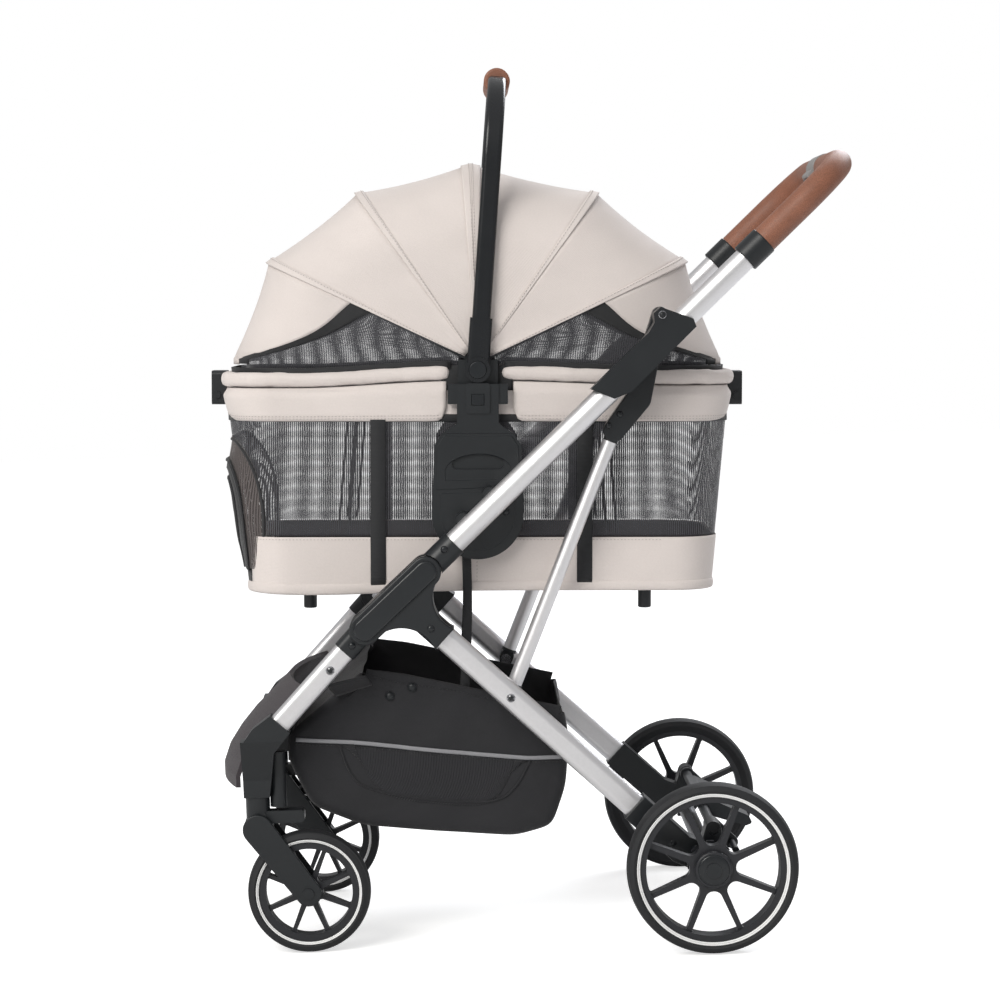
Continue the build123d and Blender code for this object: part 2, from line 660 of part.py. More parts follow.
def tub_shell():
    top = rim_top - rim_h - 1
    outer = loft([rounded_rectangle(tub_bottom_half_len, tub_bottom_half_w, 52, tub_bottom),
                  rounded_rectangle(rim_half_len - 4, rim_half_w - 2.6, rim_corner_r, top)])
    inner = loft([rounded_rectangle(tub_bottom_half_len - tub_wall, tub_bottom_half_w - tub_wall, 48,
                                    tub_bottom + tub_wall),
                  rounded_rectangle(rim_half_len - 4 - tub_wall, rim_half_w - 2.6 - tub_wall,
                                    rim_corner_r - 4, top + 0.01)])
    return outer - inner


def door_block(clearance):
    """Side-view arch that takes in the front wall and both of its rounded corners."""
    front, back = -rim_half_len - 60, rim_corner_r - rim_half_len + clearance
    height = door_high - door_low + 2 * clearance
    outline = Pos((front + back) / 2, (door_low + door_high) / 2) * Rectangle(back - front, height)
    corner = outline.vertices().sort_by(lambda point: point.X + point.Y)[-1:]
    return slab(fillet(corner, door_arch_r + clearance), -rim_half_w - 1, rim_half_w + 1)


def carrier_body():
    return in_carrier(tub_shell() - door_block(0.4))


def front_door():
    return in_carrier(tub_shell() & door_block(0))


def rim_rolls():
    """Padded rim in two halves, broken at the carry handle on each side."""
    level = rim_top - rim_h / 2
    half = rim_half_w - roll_w / 2
    halves = []
    for side in (-1, 1):
        reach = side * (rim_half_len - roll_w / 2)
        path = FilletPolyline((side * rim_gap, -half, level), (reach, -half, level),
                              (reach, half, level), (side * rim_gap, half, level),
                              radius=rim_corner_r - roll_w / 2)
        section = RectangleRounded(roll_w, rim_h, 10.5)
        plane = Plane(origin=path @ 0, x_dir=Y_AXIS, z_dir=path % 0)
        halves.append(in_carrier(sweep(plane * section, path)))
    return Compound(children=halves)


def floor_pad():
    pad = extrude(rounded_rectangle(tub_bottom_half_len - tub_wall - 3,
                                    tub_bottom_half_w - tub_wall - 3, 44,
                                    tub_bottom + tub_wall), 18)
    return in_carrier(fillet(pad.faces().sort_by(Axis.Z)[-1].edges(), 6))


def end_blocks():
    """Bumper and stroller-hook block on the middle of each rim end."""
    blocks = []
    for side in (-1, 1):
        block = Pos(side * (rim_half_len + 9.2), 0, -25) * Box(18, 44, 42)
        block = fillet(block.edges().filter_by(Axis.X), 5)
        block += Pos(side * (rim_half_len + 11), 0, -34) * Cylinder(
            4, 50, rotation=(90, 0, 0))
        blocks.append(in_carrier(block))
    return Compound(children=blocks)


def carrier_feet():
    feet = []
    for x in (-foot_x, foot_x):
        for y in (-foot_y, foot_y):
            peg = Pos(x, y, tub_bottom) * Cylinder(foot_r, foot_len,
                                                   align=(Align.CENTER, Align.CENTER, Align.MAX))
            peg = fillet(peg.faces().sort_by(Axis.Z)[0].edges(), 2)
            feet.append(in_carrier(peg))
    return Compound(children=feet)


# ---------------------------------------------------------------- carry handle
def in_arch(shape):
    return in_carrier(Rot(0, arch_lean, 0) * shape)


def arch_handle():
    """Oval arch over the carrier with a round boss on each pivot."""
    path = FilletPolyline((0, -arch_y, 10), (0, -arch_y, arch_reach), (0, arch_y, arch_reach),
                          (0, arch_y, 10), radius=arch_corner_r)
    plane = Plane(origin=path @ 0, x_dir=Y_AXIS, z_dir=path % 0)
    body = sweep(plane * RectangleRounded(arch_leg_w, arch_leg_h - 3, 5), path)
    for side in (-1, 1):
        sleeve = Pos(0, side * arch_y, 4) * Box(arch_leg_h + 2, arch_leg_w + 0.4, 58,
                                                align=(Align.CENTER, Align.CENTER, Align.MIN))
        body += fillet(sleeve.edges().filter_by(Axis.Z), 4)
        inner, outer = side * (arch_y - 6), side * (arch_y + 8)
        boss = rod((0, 0), arch_boss_r, inner, outer)
        body += boss
        body -= rod((0, 0), 5 + running_gap, inner - side, side * (arch_y + 2.2))
        body -= rod((0, 0), arch_button_r + side_gap, side * (arch_y + 2.2), outer + side)
    return in_arch(body)


def arch_grip():
    half = arch_grip_half_len
    sleeve = Plane.XZ.offset(-half) * Circle(arch_grip_r)
    sleeve = Pos(0, 0, arch_reach) * extrude(sleeve, 2 * half)
    sleeve = fillet(sleeve.edges().filter_by(GeomType.CIRCLE), 3)
    core = Plane.XZ.offset(-half - 1) * RectangleRounded(arch_leg_h - 2.9, arch_leg_w + 0.1, 5)
    return in_arch(sleeve - Pos(0, 0, arch_reach) * extrude(core, 2 * half + 2))


def arch_button():
    cap = rod((0, 0), arch_button_r, -arch_y - 8.6, -arch_y - 5.0)
    return in_arch(fillet(cap.faces().sort_by(Axis.Y)[0].edges(), 1))


# ---------------------------------------------------------------- canopy
def rib(lean, reach, layer):
    """Flat hoop from one pivot over the carrier to the other."""
    half = rib_first_y - layer * rib_pitch
    top = reach - rib_drop
    path = FilletPolyline((0, -half, 0), (0, -half, top), (0, half, top), (0, half, 0),
                          radius=canopy_corner_r - rib_drop)
    plane = Plane(origin=path @ 0, x_dir=Y_AXIS, z_dir=path % 0)
    hoop = sweep(plane * Rectangle(rib_thick, rib_w), path)
    for side in (-1, 1):
        y = side * half
        hoop += rod((0, 0), 7, y - rib_thick / 2, y + rib_thick / 2)
        hoop -= rod((0, 0), 2.4 + running_gap, y - 1, y + 1)
    return in_carrier(Pos(0, 0, canopy_pivot_z) * (Rot(0, lean, 0) * hoop))


def arch_face(lean, reach, inset, start=12.0):
    """The outline that a hoop spans, from near the pivot line to its top."""
    half, top = canopy_half_w - inset, reach - inset
    corner = canopy_corner_r - inset
    plane = Plane(origin=(0, 0, 0), x_dir=Y_AXIS, z_dir=(-1, 0, 0))
    outline = Polygon((-half, start), (half, start), (half, top), (-half, top), align=None)
    outline = fillet(outline.vertices().group_by(Axis.Y)[-1], corner)
    upright = Plane(origin=(0, 0, 0), x_dir=(0, 1, 0), z_dir=(1, 0, 0))
    return Rot(0, lean, 0) * (upright * outline)


def canopy_half(leans, sign):
    """Fabric over the three hoops of one half, open below."""
    stations = [(sign * 89.4, rim_reach)] + [(lean, reach) for lean, reach in zip(leans, rib_reaches)]
    outer, inner = None, None
    for (lean_a, reach_a), (lean_b, reach_b) in zip(stations, stations[1:]):
        wedge = loft([arch_face(lean_a, reach_a, 0), arch_face(lean_b, reach_b, 0)], ruled=True)
        outer = wedge if outer is None else outer + wedge
    grow = 1.2
    first_lean, last_lean = stations[0][0] + sign * grow, stations[-1][0] - sign * grow
    grown = [(first_lean, rim_reach)] + stations[1:-1] + [(last_lean, rib_reaches[-1])]
    for (lean_a, reach_a), (lean_b, reach_b) in zip(grown, grown[1:]):
        wedge = loft([arch_face(lean_a, reach_a, canopy_skin, 8.0),
                      arch_face(lean_b, reach_b, canopy_skin, 8.0)], ruled=True)
        inner = wedge if inner is None else inner + wedge
    skin = outer - inner - rod((0, 0), canopy_hole_r, -200, 200)
    return in_carrier(Pos(0, 0, canopy_pivot_z) * skin)


# ---------------------------------------------------------------- basket
def basket():
    """Fabric basket that hangs between the legs, open above."""
    outline = Polygon((-404, 338), (-500, 262), (-501, 229), (-474, 172), (-413, 146), (-327, 136),
                      (-229, 127), (-184, 138), (-166, 186), (-160, 246), (-166, 284), (-281, 312),
                      (-357, 331), align=None)
    inside = offset(outline, -basket_skin)
    bag = slab(outline, -basket_half_w, basket_half_w)
    bag = fillet(bag.faces().sort_by(Axis.Y)[0].edges() + bag.faces().sort_by(Axis.Y)[-1].edges(), 12)
    hole = slab(inside, -basket_half_w + basket_skin, basket_half_w - basket_skin)
    hole = fillet(hole.faces().sort_by(Axis.Y)[0].edges() + hole.faces().sort_by(Axis.Y)[-1].edges(), 9)
    mouth = Polygon((-404, 338 + 30), (-396, 328), (-357, 320), (-281, 301), (-172, 274),
                    (-172, 320), align=None)
    opening = slab(mouth, -basket_half_w + 12, basket_half_w - 12)
    bag = bag - hole - opening
    for side in (-1, 1):
        rear_tab = strip(rear_leg_top, rear_leg_angle, 176, 202, -9, 9)
        front_tab = strip(leg_pivot, front_leg_angle, 60, 84, 4, 42)
        for tab, leg_w in ((rear_tab, rear_leg_w), (front_tab, front_leg_w)):
            bag += slab(tab, side * (basket_half_w - 1), side * (tube_y - leg_w / 2 - 0.3)) - hole
    return bag


def main():
    os.makedirs("parts", exist_ok=True)
    for name, mirrored in (("left", False), ("right", True)):
        def place(shape, mirrored=mirrored):
            return right_of(shape) if mirrored else shape
        write("hub_" + name, place(hub()))
        write("slider_" + name, place(slider()))
        write("strut_" + name, place(strut()))
        write("strut_fittings_" + name, place(strut_fittings()))
        write("caster_fork_" + name, place(fork()))
        write("receiver_" + name, place(receiver()))
        write("adapter_button_" + name, place(adapter_button()))
        write("arch_button_" + name, place(arch_button()))
        rear_place = Pos(0, -rear_wheel_y, rear_wheel_r)
        write("rear_wheel_" + name,
              place(rear_place * wheel(rear_wheel_r, rear_tyre_w, rear_rim_share, rear_window_share,
                                       22, rear_hub_w, axle_r + running_gap, 7.5)))
        write("rear_tyre_" + name, place(rear_place * tyre(rear_wheel_r, rear_tyre_w, rear_rim_share)))
        write("brake_gear_" + name, place(rear_place * brake_gear()))
        front_place = Pos(front_wheel_x, -front_wheel_y, front_wheel_r)
        write("front_wheel_" + name,
              place(front_place * wheel(front_wheel_r, front_tyre_w, front_rim_share,
                                        front_window_share, 13, front_tyre_w + 5,
                                        axle_r + running_gap, 6.0)))
        write("front_tyre_" + name,
              place(front_place * tyre(front_wheel_r, front_tyre_w, front_rim_share)))
    for node, make in (("rear_legs", rear_leg), ("rear_brackets", rear_bracket),
                       ("front_legs", front_leg), ("knees", knee), ("pivot_plates", pivot_plate)):
        left = make()
        write(node, Compound(children=[left, right_of(left)]))
    upper = pivot_sleeve(fold_pivot, push_angle, upper_sleeve_end,
                         Circle(push_tube_r + sleeve_wall), Circle(push_tube_r))
    write("upper_sleeves", Compound(children=[upper, right_of(upper)]))
    lower = pivot_sleeve(leg_pivot, front_leg_angle, lower_sleeve_end,
                         RectangleRounded(front_leg_w + 6, front_leg_h + 3, 10),
                         RectangleRounded(front_leg_w, front_leg_h, 8.5))
    write("lower_sleeves", Compound(children=[lower, right_of(lower)]))
    write("frame_pins", frame_pins())
    write("rear_axle", rear_axle())
    write("brake_pedal", brake_pedal())
    write("push_tube", push_tube())
    grip = push_grip()
    write("push_grip", Compound(children=[grip, right_of(grip)]))
    write("grip_fittings", Compound(children=[collar(), right_of(collar()), release_housing()]))
    write("fold_release_button", release_button())
    write("footrest", footrest())
    write("basket", basket())
    write("carrier_body", carrier_body())
    write("front_door", front_door())
    write("rim_roll", rim_rolls())
    write("floor_pad", floor_pad())
    adapters = adapter()
    write("carrier_adapters", Compound(children=[adapters, right_of(adapters)]))
    write("end_blocks", end_blocks())
    write("carrier_feet", carrier_feet())
    write("arch_handle", arch_handle())
    write("arch_grip", arch_grip())
    for index, (name, lean) in enumerate(zip(("low", "middle", "top"), front_rib_leans)):
        write("front_rib_" + name, rib(lean, rib_reaches[index], 2 * index))
    for index, (name, lean) in enumerate(zip(("low", "middle", "top"), rear_rib_leans)):
        write("rear_rib_" + name, rib(lean, rib_reaches[index], 2 * index + 1))
    write("canopy_front", canopy_half(front_rib_leans, -1))
    write("canopy_rear", canopy_half(rear_rib_leans, 1))


main()
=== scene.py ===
"""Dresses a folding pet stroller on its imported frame: cloth, net, leather, metal and plastic."""

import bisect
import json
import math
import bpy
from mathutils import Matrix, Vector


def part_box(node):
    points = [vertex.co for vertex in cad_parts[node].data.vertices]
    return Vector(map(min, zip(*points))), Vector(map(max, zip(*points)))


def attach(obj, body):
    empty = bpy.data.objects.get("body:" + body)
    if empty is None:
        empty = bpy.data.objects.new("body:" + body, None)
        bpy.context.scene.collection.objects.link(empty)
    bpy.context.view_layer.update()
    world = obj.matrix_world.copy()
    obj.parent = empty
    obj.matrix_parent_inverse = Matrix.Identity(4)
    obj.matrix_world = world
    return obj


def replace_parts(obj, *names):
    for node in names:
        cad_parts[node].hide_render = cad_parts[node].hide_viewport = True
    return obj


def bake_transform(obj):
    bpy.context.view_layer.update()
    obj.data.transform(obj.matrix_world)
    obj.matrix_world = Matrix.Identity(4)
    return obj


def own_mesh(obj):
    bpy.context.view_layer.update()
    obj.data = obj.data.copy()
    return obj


bl_info = {
    "name": "Pet Stroller Dressing",
    "version": (1, 0, 0),
    "blender": (4, 5, 0),
    "location": "3D Viewport > Sidebar > Stroller",
    "description": "Builds the soft goods, trim and finishes of a folding pet stroller",
    "category": "Object",
}

import bmesh
import bpy
from mathutils import Matrix, Vector, geometry, noise

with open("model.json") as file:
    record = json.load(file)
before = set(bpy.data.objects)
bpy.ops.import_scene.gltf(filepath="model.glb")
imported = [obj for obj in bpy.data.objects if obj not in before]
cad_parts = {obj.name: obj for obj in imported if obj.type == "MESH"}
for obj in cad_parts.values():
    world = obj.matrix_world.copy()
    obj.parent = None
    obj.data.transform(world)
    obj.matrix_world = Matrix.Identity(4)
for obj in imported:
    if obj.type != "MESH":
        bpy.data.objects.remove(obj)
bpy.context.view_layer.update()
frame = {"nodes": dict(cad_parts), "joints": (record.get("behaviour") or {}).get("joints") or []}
NODES = frame["nodes"]
JOINTS = {joint["name"]: joint for joint in frame["joints"]}
MM = 0.001
SIDES = (("left", -1), ("right", 1))
HALVES = (("front", -1), ("rear", 1))
HOOPS = ("low", "middle", "top")
HOOP_SKIN = 4.9 * MM  # from a hoop's middle to the cloth over it


# ------------------------------------------------------------ places, read from the frame
def joint_point(name):
    """Where a joint turns, in metres."""
    return Vector(JOINTS[name]["pos_m"])


LIFT = Vector(JOINTS["carrier_lift"]["axis"]).normalized()
CARRIER = Matrix.Translation(joint_point("arch_swing")) @ Matrix.Rotation(
    math.atan2(LIFT.x, LIFT.z), 4, "Y")
LEVEL = CARRIER.inverted()
HOOP_LEVEL = (LEVEL @ joint_point("front_canopy_fold")).z


def on_carrier(x, y, z):
    """A point of the carrier's own level frame, put on the stroller."""
    return CARRIER @ Vector((x, y, z))


def facing_on_carrier(x, y):
    """A direction of the carrier's own level plane, put on the stroller."""
    return CARRIER.to_3x3() @ Vector((x, y, 0))


def level_points(node):
    """The points of a node, seen from the carrier's own level frame."""
    return [LEVEL @ vertex.co for vertex in NODES[node].data.vertices]


def spread(node):
    """Lowest and highest corner of a node in the carrier's own level frame."""
    points = level_points(node)
    low = Vector([min(point[axis] for point in points) for axis in range(3)])
    high = Vector([max(point[axis] for point in points) for axis in range(3)])
    return low, high


def hoop_lean_and_reach(node):
    """How far a canopy hoop leans from upright and how far its cloth stands from the pivots."""
    top = [point for point in level_points(node)
           if abs(point.y) < 70 * MM and point.z > HOOP_LEVEL + 60 * MM]
    middle = sum(top, Vector()) / len(top)
    rise = middle.z - HOOP_LEVEL
    return math.atan2(middle.x, rise), math.hypot(middle.x, rise) + HOOP_SKIN


TUB_LOW, TUB_HIGH = spread("carrier_body")
TUB_FLOOR = [point for point in level_points("carrier_body") if point.z < TUB_LOW.z + 2 * MM]
TUB_FOOT = [max(abs(point[axis]) for point in TUB_FLOOR) for axis in (0, 1)]
DOOR_LOW, DOOR_HIGH = spread("front_door")
ROLL_HIGH = spread("rim_roll")[1]
AXLE_X = joint_point("rear_wheel_spin_left").x
CANOPY_HALF_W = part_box("canopy_front")[1].y
ARCH_LEG_INNER = min(abs(v.co.y) for v in NODES["arch_handle"].data.vertices
                     if v.co.z < joint_point("arch_swing").z + 150 * MM)


# ------------------------------------------------------------ colour and settings
def srgb(text):
    """A #RRGGBB colour as linear red, green, blue and 1."""
    parts = [int(text[start:start + 2], 16) / 255 for start in (1, 3, 5)]
    linear = [part / 12.92 if part <= 0.04045 else ((part + 0.055) / 1.055) ** 2.4
              for part in parts]
    return (*linear, 1.0)


def colour(name, description, default):
    """A colour setting of the panel."""
    return bpy.props.FloatVectorProperty(name=name, description=description, subtype="COLOR",
                                         size=3, min=0, max=1, default=srgb(default)[:3])


def length(name, description, default):
    """A length setting of the panel, given in millimetres."""
    return bpy.props.FloatProperty(name=name, description=description, default=default * MM,
                                   min=0, unit="LENGTH")


class StrollerColours(bpy.types.PropertyGroup):
    """Colours of the stroller's cloth, leather, metal and plastic."""
    canopy: colour("Canopy cloth", "Woven polyester of the canopy, rim and skirt", "#DCD3CF")
    lining: colour("Lining", "Dark inner cloth of the tub", "#57504F")
    net: colour("Net", "Knitted see-through net", "#47474C")
    webbing: colour("Webbing", "Straps and bindings", "#1C1D20")
    basket: colour("Basket cloth", "Coated oxford cloth of the basket", "#212125")
    reflective: colour("Reflective piping", "Light-returning piping on the basket", "#8A8A8E")
    leather: colour("Leather", "Tan leatherette of both grips", "#98624A")
    silver: colour("Silver tube", "Anodised aluminium of the frame", "#E8E7E9")
    nylon: colour("Black nylon", "Moulded fittings of the frame", "#1D2023")
    spokes: colour("Wheel nylon", "Moulded wheels", "#26272B")
    tread: colour("Tyre", "Foamed rubber of the tyres", "#1E1F22")
    stripe: colour("Tyre stripe", "Printed line on the tyres", "#FFFFFF")
    pad: colour("Floor pad", "Brushed cloth of the floor pad", "#5A5254")


class CarrierSizes(bpy.types.PropertyGroup):
    """Sizes of the carrier's soft goods."""
    cloth: length("Cloth", "Thickness of the woven cloth", 1.2)
    hem: length("Hem", "Width of the hem on each canopy hoop", 11)
    sag: length("Canopy sag", "How far the canopy dips between two hoops", 4)
    window_back: length("Window at the hoop", "Net window's reach along the lowest hoop", 167)
    window_front: length("Window at the rim", "Net window's reach along the rim", 291)
    skirt_drop: length("Skirt drop", "Lowest edge of the skirt below the pivots", 62)
    net_low: length("Net hem", "Where the net ends below the pivots", 202)
    strap_w: length("Strap width", "Width of the straps on the tub's sides", 18.5)
    strap_x: length("Strap place", "Distance of the side straps from the pivots", 120)
    binding_w: length("Binding", "Width of the door's binding tapes", 11)
    quilt: length("Pad swell", "How far the floor pad swells at most", 7)


class BasketSizes(bpy.types.PropertyGroup):
    """Sizes of the basket under the seat."""
    cloth: length("Cloth", "Thickness of the basket's cloth", 1.8)
    corner: length("Corner", "Rounding between the basket's side and its floor", 13)
    fold: length("Folds", "Depth of the basket's soft folds", 5.0)
    stripe_w: length("Piping", "Width of the reflective piping", 5.0)


class TrimSizes(bpy.types.PropertyGroup):
    """Sizes of stitches and rivets."""
    stitch: length("Stitch", "Length of one stitch", 2.6)
    stitch_gap: length("Stitch spacing", "Distance from one stitch to the next", 4.2)
    thread: length("Thread", "Radius of the sewing thread", 0.5)
    rivet: length("Rivet", "Radius of a frame rivet's head", 3.6)


class StageSettings(bpy.types.PropertyGroup):
    """Light and floor of the studio."""
    key: bpy.props.FloatProperty(
        name="Key light", description="Power of the large front lamp", default=17.0, min=0)
    rim: bpy.props.FloatProperty(
        name="Rim light", description="Power of the lamp above the back", default=12.0, min=0)
    sky: bpy.props.FloatProperty(
        name="Sky light", description="Strength of the even light all round", default=0.44, min=0)


class StrollerSettings(bpy.types.PropertyGroup):
    """All settings of the stroller."""
    colours: bpy.props.PointerProperty(type=StrollerColours)
    carrier: bpy.props.PointerProperty(type=CarrierSizes)
    basket: bpy.props.PointerProperty(type=BasketSizes)
    trim: bpy.props.PointerProperty(type=TrimSizes)
    stage: bpy.props.PointerProperty(type=StageSettings)


def settings():
    """The scene's stroller settings."""
    return bpy.context.scene.stroller


# ------------------------------------------------------------ material nodes
WAVE = math.pi / 10  # a Wave texture repeats at this length when its scale is 1


def add_node(tree, kind, values=None, links=None):
    """Adds one node: values sets its properties or sockets, links wires sockets to its inputs."""
    node = tree.nodes.new(kind)
    for key, value in (values or {}).items():
        if isinstance(key, int) or key in node.inputs:
            node.inputs[key].default_value = value
        else:
            setattr(node, key, value)
    for key, source in (links or {}).items():
        tree.links.new(source, node.inputs[key])
    return node


def new_material(name):
    """An empty material and its node tree."""
    material = bpy.data.materials.new(name)
    material.use_nodes = True
    material.node_tree.nodes.clear()
    return material, material.node_tree


def close_material(material, shader):
    """Wires the shader to the material's output."""
    add_node(material.node_tree, "ShaderNodeOutputMaterial", links={"Surface": shader.outputs[0]})
    return material


def close_bumped(material, dye, height, strength, depth, values, links=None):
    """Ends a material in a dyed surface whose bump follows a height."""
    tree = material.node_tree
    bump = add_node(tree, "ShaderNodeBump", {"Strength": strength, "Distance": depth},
                    {"Height": height})
    shader = add_node(tree, "ShaderNodeBsdfPrincipled", values,
                      {"Base Color": dye, "Normal": bump.outputs["Normal"], **(links or {})})
    return close_material(material, shader)


def tinted(tree, base, low, high, factor):
    """Varies a colour between a darker and a lighter share of itself."""
    ramp = add_node(tree, "ShaderNodeValToRGB", links={"Fac": factor})
    for stop, share in zip(ramp.color_ramp.elements, (low, high)):
        stop.color = (*[min(1.0, part * share) for part in base[:3]], 1.0)
    return ramp.outputs["Color"]


def handled(tree, roughness, worn, factor):
    """A roughness that wear moves a little both ways."""
    gloss = add_node(tree, "ShaderNodeMapRange",
                     {"To Min": roughness - worn, "To Max": roughness + worn}, {"Value": factor})
    return gloss.outputs["Result"]


def own_coordinates(tree, laid_flat):
    """Metres on the piece: its own cloth map, or the place in the object."""
    place = add_node(tree, "ShaderNodeTexCoord")
    return place.outputs["UV" if laid_flat else "Object"]


def threads(tree, place, spacing, axes):
    """Crossing threads: one wave for each axis, added up."""
    height = None
    for axis in axes:
        wave = add_node(tree, "ShaderNodeTexWave",
                        {"bands_direction": axis, "Scale": WAVE / spacing, "Distortion": 0.6,
                         "Detail": 1.0, "Detail Scale": 1.5}, {"Vector": place}).outputs["Fac"]
        height = wave if height is None else add_node(
            tree, "ShaderNodeMath", {"operation": "ADD"}, {0: height, 1: wave}).outputs[0]
    return height


def woven(name, base, spacing=1.5 * MM, roughness=0.9, strength=0.35, laid_flat=True, low=0.93,
          sheen=0.25, coat=0.0):
    """Plain-woven cloth: crossing threads in the bump, mottled dye and a soft sheen."""
    material, tree = new_material(name)
    place = own_coordinates(tree, laid_flat)
    weave = threads(tree, place, spacing, "XY" if laid_flat else "XYZ")
    mottle = add_node(tree, "ShaderNodeTexNoise", {"Scale": 420.0, "Detail": 3.0, "Roughness": 0.7},
                      {"Vector": place})
    shade = add_node(tree, "ShaderNodeTexNoise", {"Scale": 11.0, "Detail": 2.0}, {"Vector": place})
    mixed = add_node(tree, "ShaderNodeMath", {"operation": "MULTIPLY_ADD", 1: 0.65},
                     {0: mottle.outputs["Fac"], 2: shade.outputs["Fac"]})
    spread_out = add_node(tree, "ShaderNodeMapRange", {"From Min": 0.55, "From Max": 1.1},
                          {"Value": mixed.outputs[0]})
    dye = tinted(tree, base, low, 1.03, spread_out.outputs["Result"])
    fine = add_node(tree, "ShaderNodeBump", {"Strength": strength, "Distance": 0.35 * MM},
                    {"Height": weave})
    soft = add_node(tree, "ShaderNodeBump", {"Strength": 0.25, "Distance": 1.0 * MM},
                    {"Height": mottle.outputs["Fac"], "Normal": fine.outputs["Normal"]})
    shader = add_node(tree, "ShaderNodeBsdfPrincipled",
                      {"Roughness": roughness, "Sheen Weight": sheen, "Sheen Roughness": 0.5,
                       "Coat Weight": coat, "Coat Roughness": 0.45, "IOR": 1.47},
                      {"Base Color": dye, "Normal": soft.outputs["Normal"]})
    return close_material(material, shader)


def net(name, base, spacing, cover):
    """Warp-knitted net: broad dark wales one way, thin courses the other, open holes between."""
    material, tree = new_material(name)
    place = own_coordinates(tree, True)
    across, courses_wave = [
        add_node(tree, "ShaderNodeTexWave", {"bands_direction": axis, "Scale": WAVE / gap,
                                             "Distortion": bent, "Detail": 1.0}, {"Vector": place})
        for axis, gap, bent in (("X", spacing, 0.9), ("Y", spacing * 0.45, 0.5))]
    dense = add_node(tree, "ShaderNodeTexNoise", {"Scale": 60.0, "Detail": 1.0}, {"Vector": place})
    uneven = add_node(tree, "ShaderNodeMath", {"operation": "MULTIPLY_ADD", 1: 0.3},
                      {0: dense.outputs["Fac"], 2: across.outputs["Fac"]})
    wales = add_node(tree, "ShaderNodeMapRange",
                     {"From Min": cover + 0.1, "From Max": cover + 0.24},
                     {"Value": uneven.outputs[0]})
    courses = add_node(tree, "ShaderNodeMapRange", {"From Min": 0.1, "From Max": 0.24},
                       {"Value": courses_wave.outputs["Fac"]})
    open_part = add_node(tree, "ShaderNodeMath", {"operation": "MULTIPLY"},
                         {0: wales.outputs["Result"], 1: courses.outputs["Result"]})
    hole = add_node(tree, "ShaderNodeMapRange", {"To Min": 1.0, "To Max": 0.0},
                    {"Value": open_part.outputs[0]})
    shader = add_node(tree, "ShaderNodeBsdfPrincipled",
                      {"Base Color": base, "Roughness": 0.62, "Sheen Weight": 0.2, "IOR": 1.5},
                      {"Alpha": hole.outputs["Result"]})
    return close_material(material, shader)


def ribbed(name, base, spacing, axis="Y", roughness=0.7, strength=0.6):
    """Ribbed tape or knit: straight ribs across the piece's length."""
    material, tree = new_material(name)
    place = own_coordinates(tree, True)
    rib = threads(tree, place, spacing, axis)
    fuzz = add_node(tree, "ShaderNodeTexNoise", {"Scale": 700.0, "Detail": 2.0}, {"Vector": place})
    dye = tinted(tree, base, 0.8, 1.2, fuzz.outputs["Fac"])
    return close_bumped(material, dye, rib, strength, 0.5 * MM,
                        {"Roughness": roughness, "Sheen Weight": 0.15, "IOR": 1.5})


def moulded(name, base, roughness, grain=0.25, grit=0.5 * MM, worn=0.06):
    """Injection-moulded plastic: fine spark-eroded grain and slightly uneven gloss."""
    material, tree = new_material(name)
    place = own_coordinates(tree, False)
    grit_noise = add_node(tree, "ShaderNodeTexNoise", {"Scale": 1 / grit / 2, "Detail": 2.0},
                          {"Vector": place})
    smear = add_node(tree, "ShaderNodeTexNoise", {"Scale": 26.0, "Detail": 4.0}, {"Vector": place})
    dye = tinted(tree, base, 0.9, 1.12, smear.outputs["Fac"])
    return close_bumped(material, dye, grit_noise.outputs["Fac"], grain, 0.15 * MM, {"IOR": 1.46},
                        {"Roughness": handled(tree, roughness, worn, smear.outputs["Fac"])})


def metal(name, base, roughness, streak=(1.0, 1.0, 1.0), worn=0.05):
    """Bare or anodised metal: drawn streaks and faint handling marks in its gloss."""
    material, tree = new_material(name)
    place = own_coordinates(tree, False)
    drawn = add_node(tree, "ShaderNodeMapping", {"Scale": streak}, {"Vector": place})
    lines = add_node(tree, "ShaderNodeTexNoise", {"Scale": 260.0, "Detail": 3.0},
                     {"Vector": drawn.outputs["Vector"]})
    marks = add_node(tree, "ShaderNodeTexNoise", {"Scale": 34.0, "Detail": 4.0}, {"Vector": place})
    dye = tinted(tree, base, 0.95, 1.04, lines.outputs["Fac"])
    return close_bumped(material, dye, lines.outputs["Fac"], 0.05, 0.1 * MM, {"Metallic": 1.0},
                        {"Roughness": handled(tree, roughness, worn, marks.outputs["Fac"])})


def leather(name, base):
    """Embossed leatherette: pebbled grain, with painted shade darkening its creases."""
    material, tree = new_material(name)
    place = own_coordinates(tree, False)
    pebbles = add_node(tree, "ShaderNodeTexVoronoi",
                       {"feature": "DISTANCE_TO_EDGE", "Scale": 1 / (1.6 * MM)}, {"Vector": place})
    crease = add_node(tree, "ShaderNodeMapRange", {"From Max": 0.25},
                      {"Value": pebbles.outputs["Distance"]})
    cloudy = add_node(tree, "ShaderNodeTexNoise", {"Scale": 38.0, "Detail": 3.0}, {"Vector": place})
    mixed = add_node(tree, "ShaderNodeMath", {"operation": "MULTIPLY"},
                     {0: crease.outputs["Result"], 1: cloudy.outputs["Fac"]})
    # painted shade: the grain's creases are darkened in the colour, mixed with random cloudy tone
    dye = tinted(tree, base, 0.66, 1.35, mixed.outputs[0])
    return close_bumped(material, dye, crease.outputs["Result"], 0.5, 0.3 * MM,
                        {"Roughness": 0.46, "Coat Weight": 0.12, "Coat Roughness": 0.4, "IOR": 1.5})


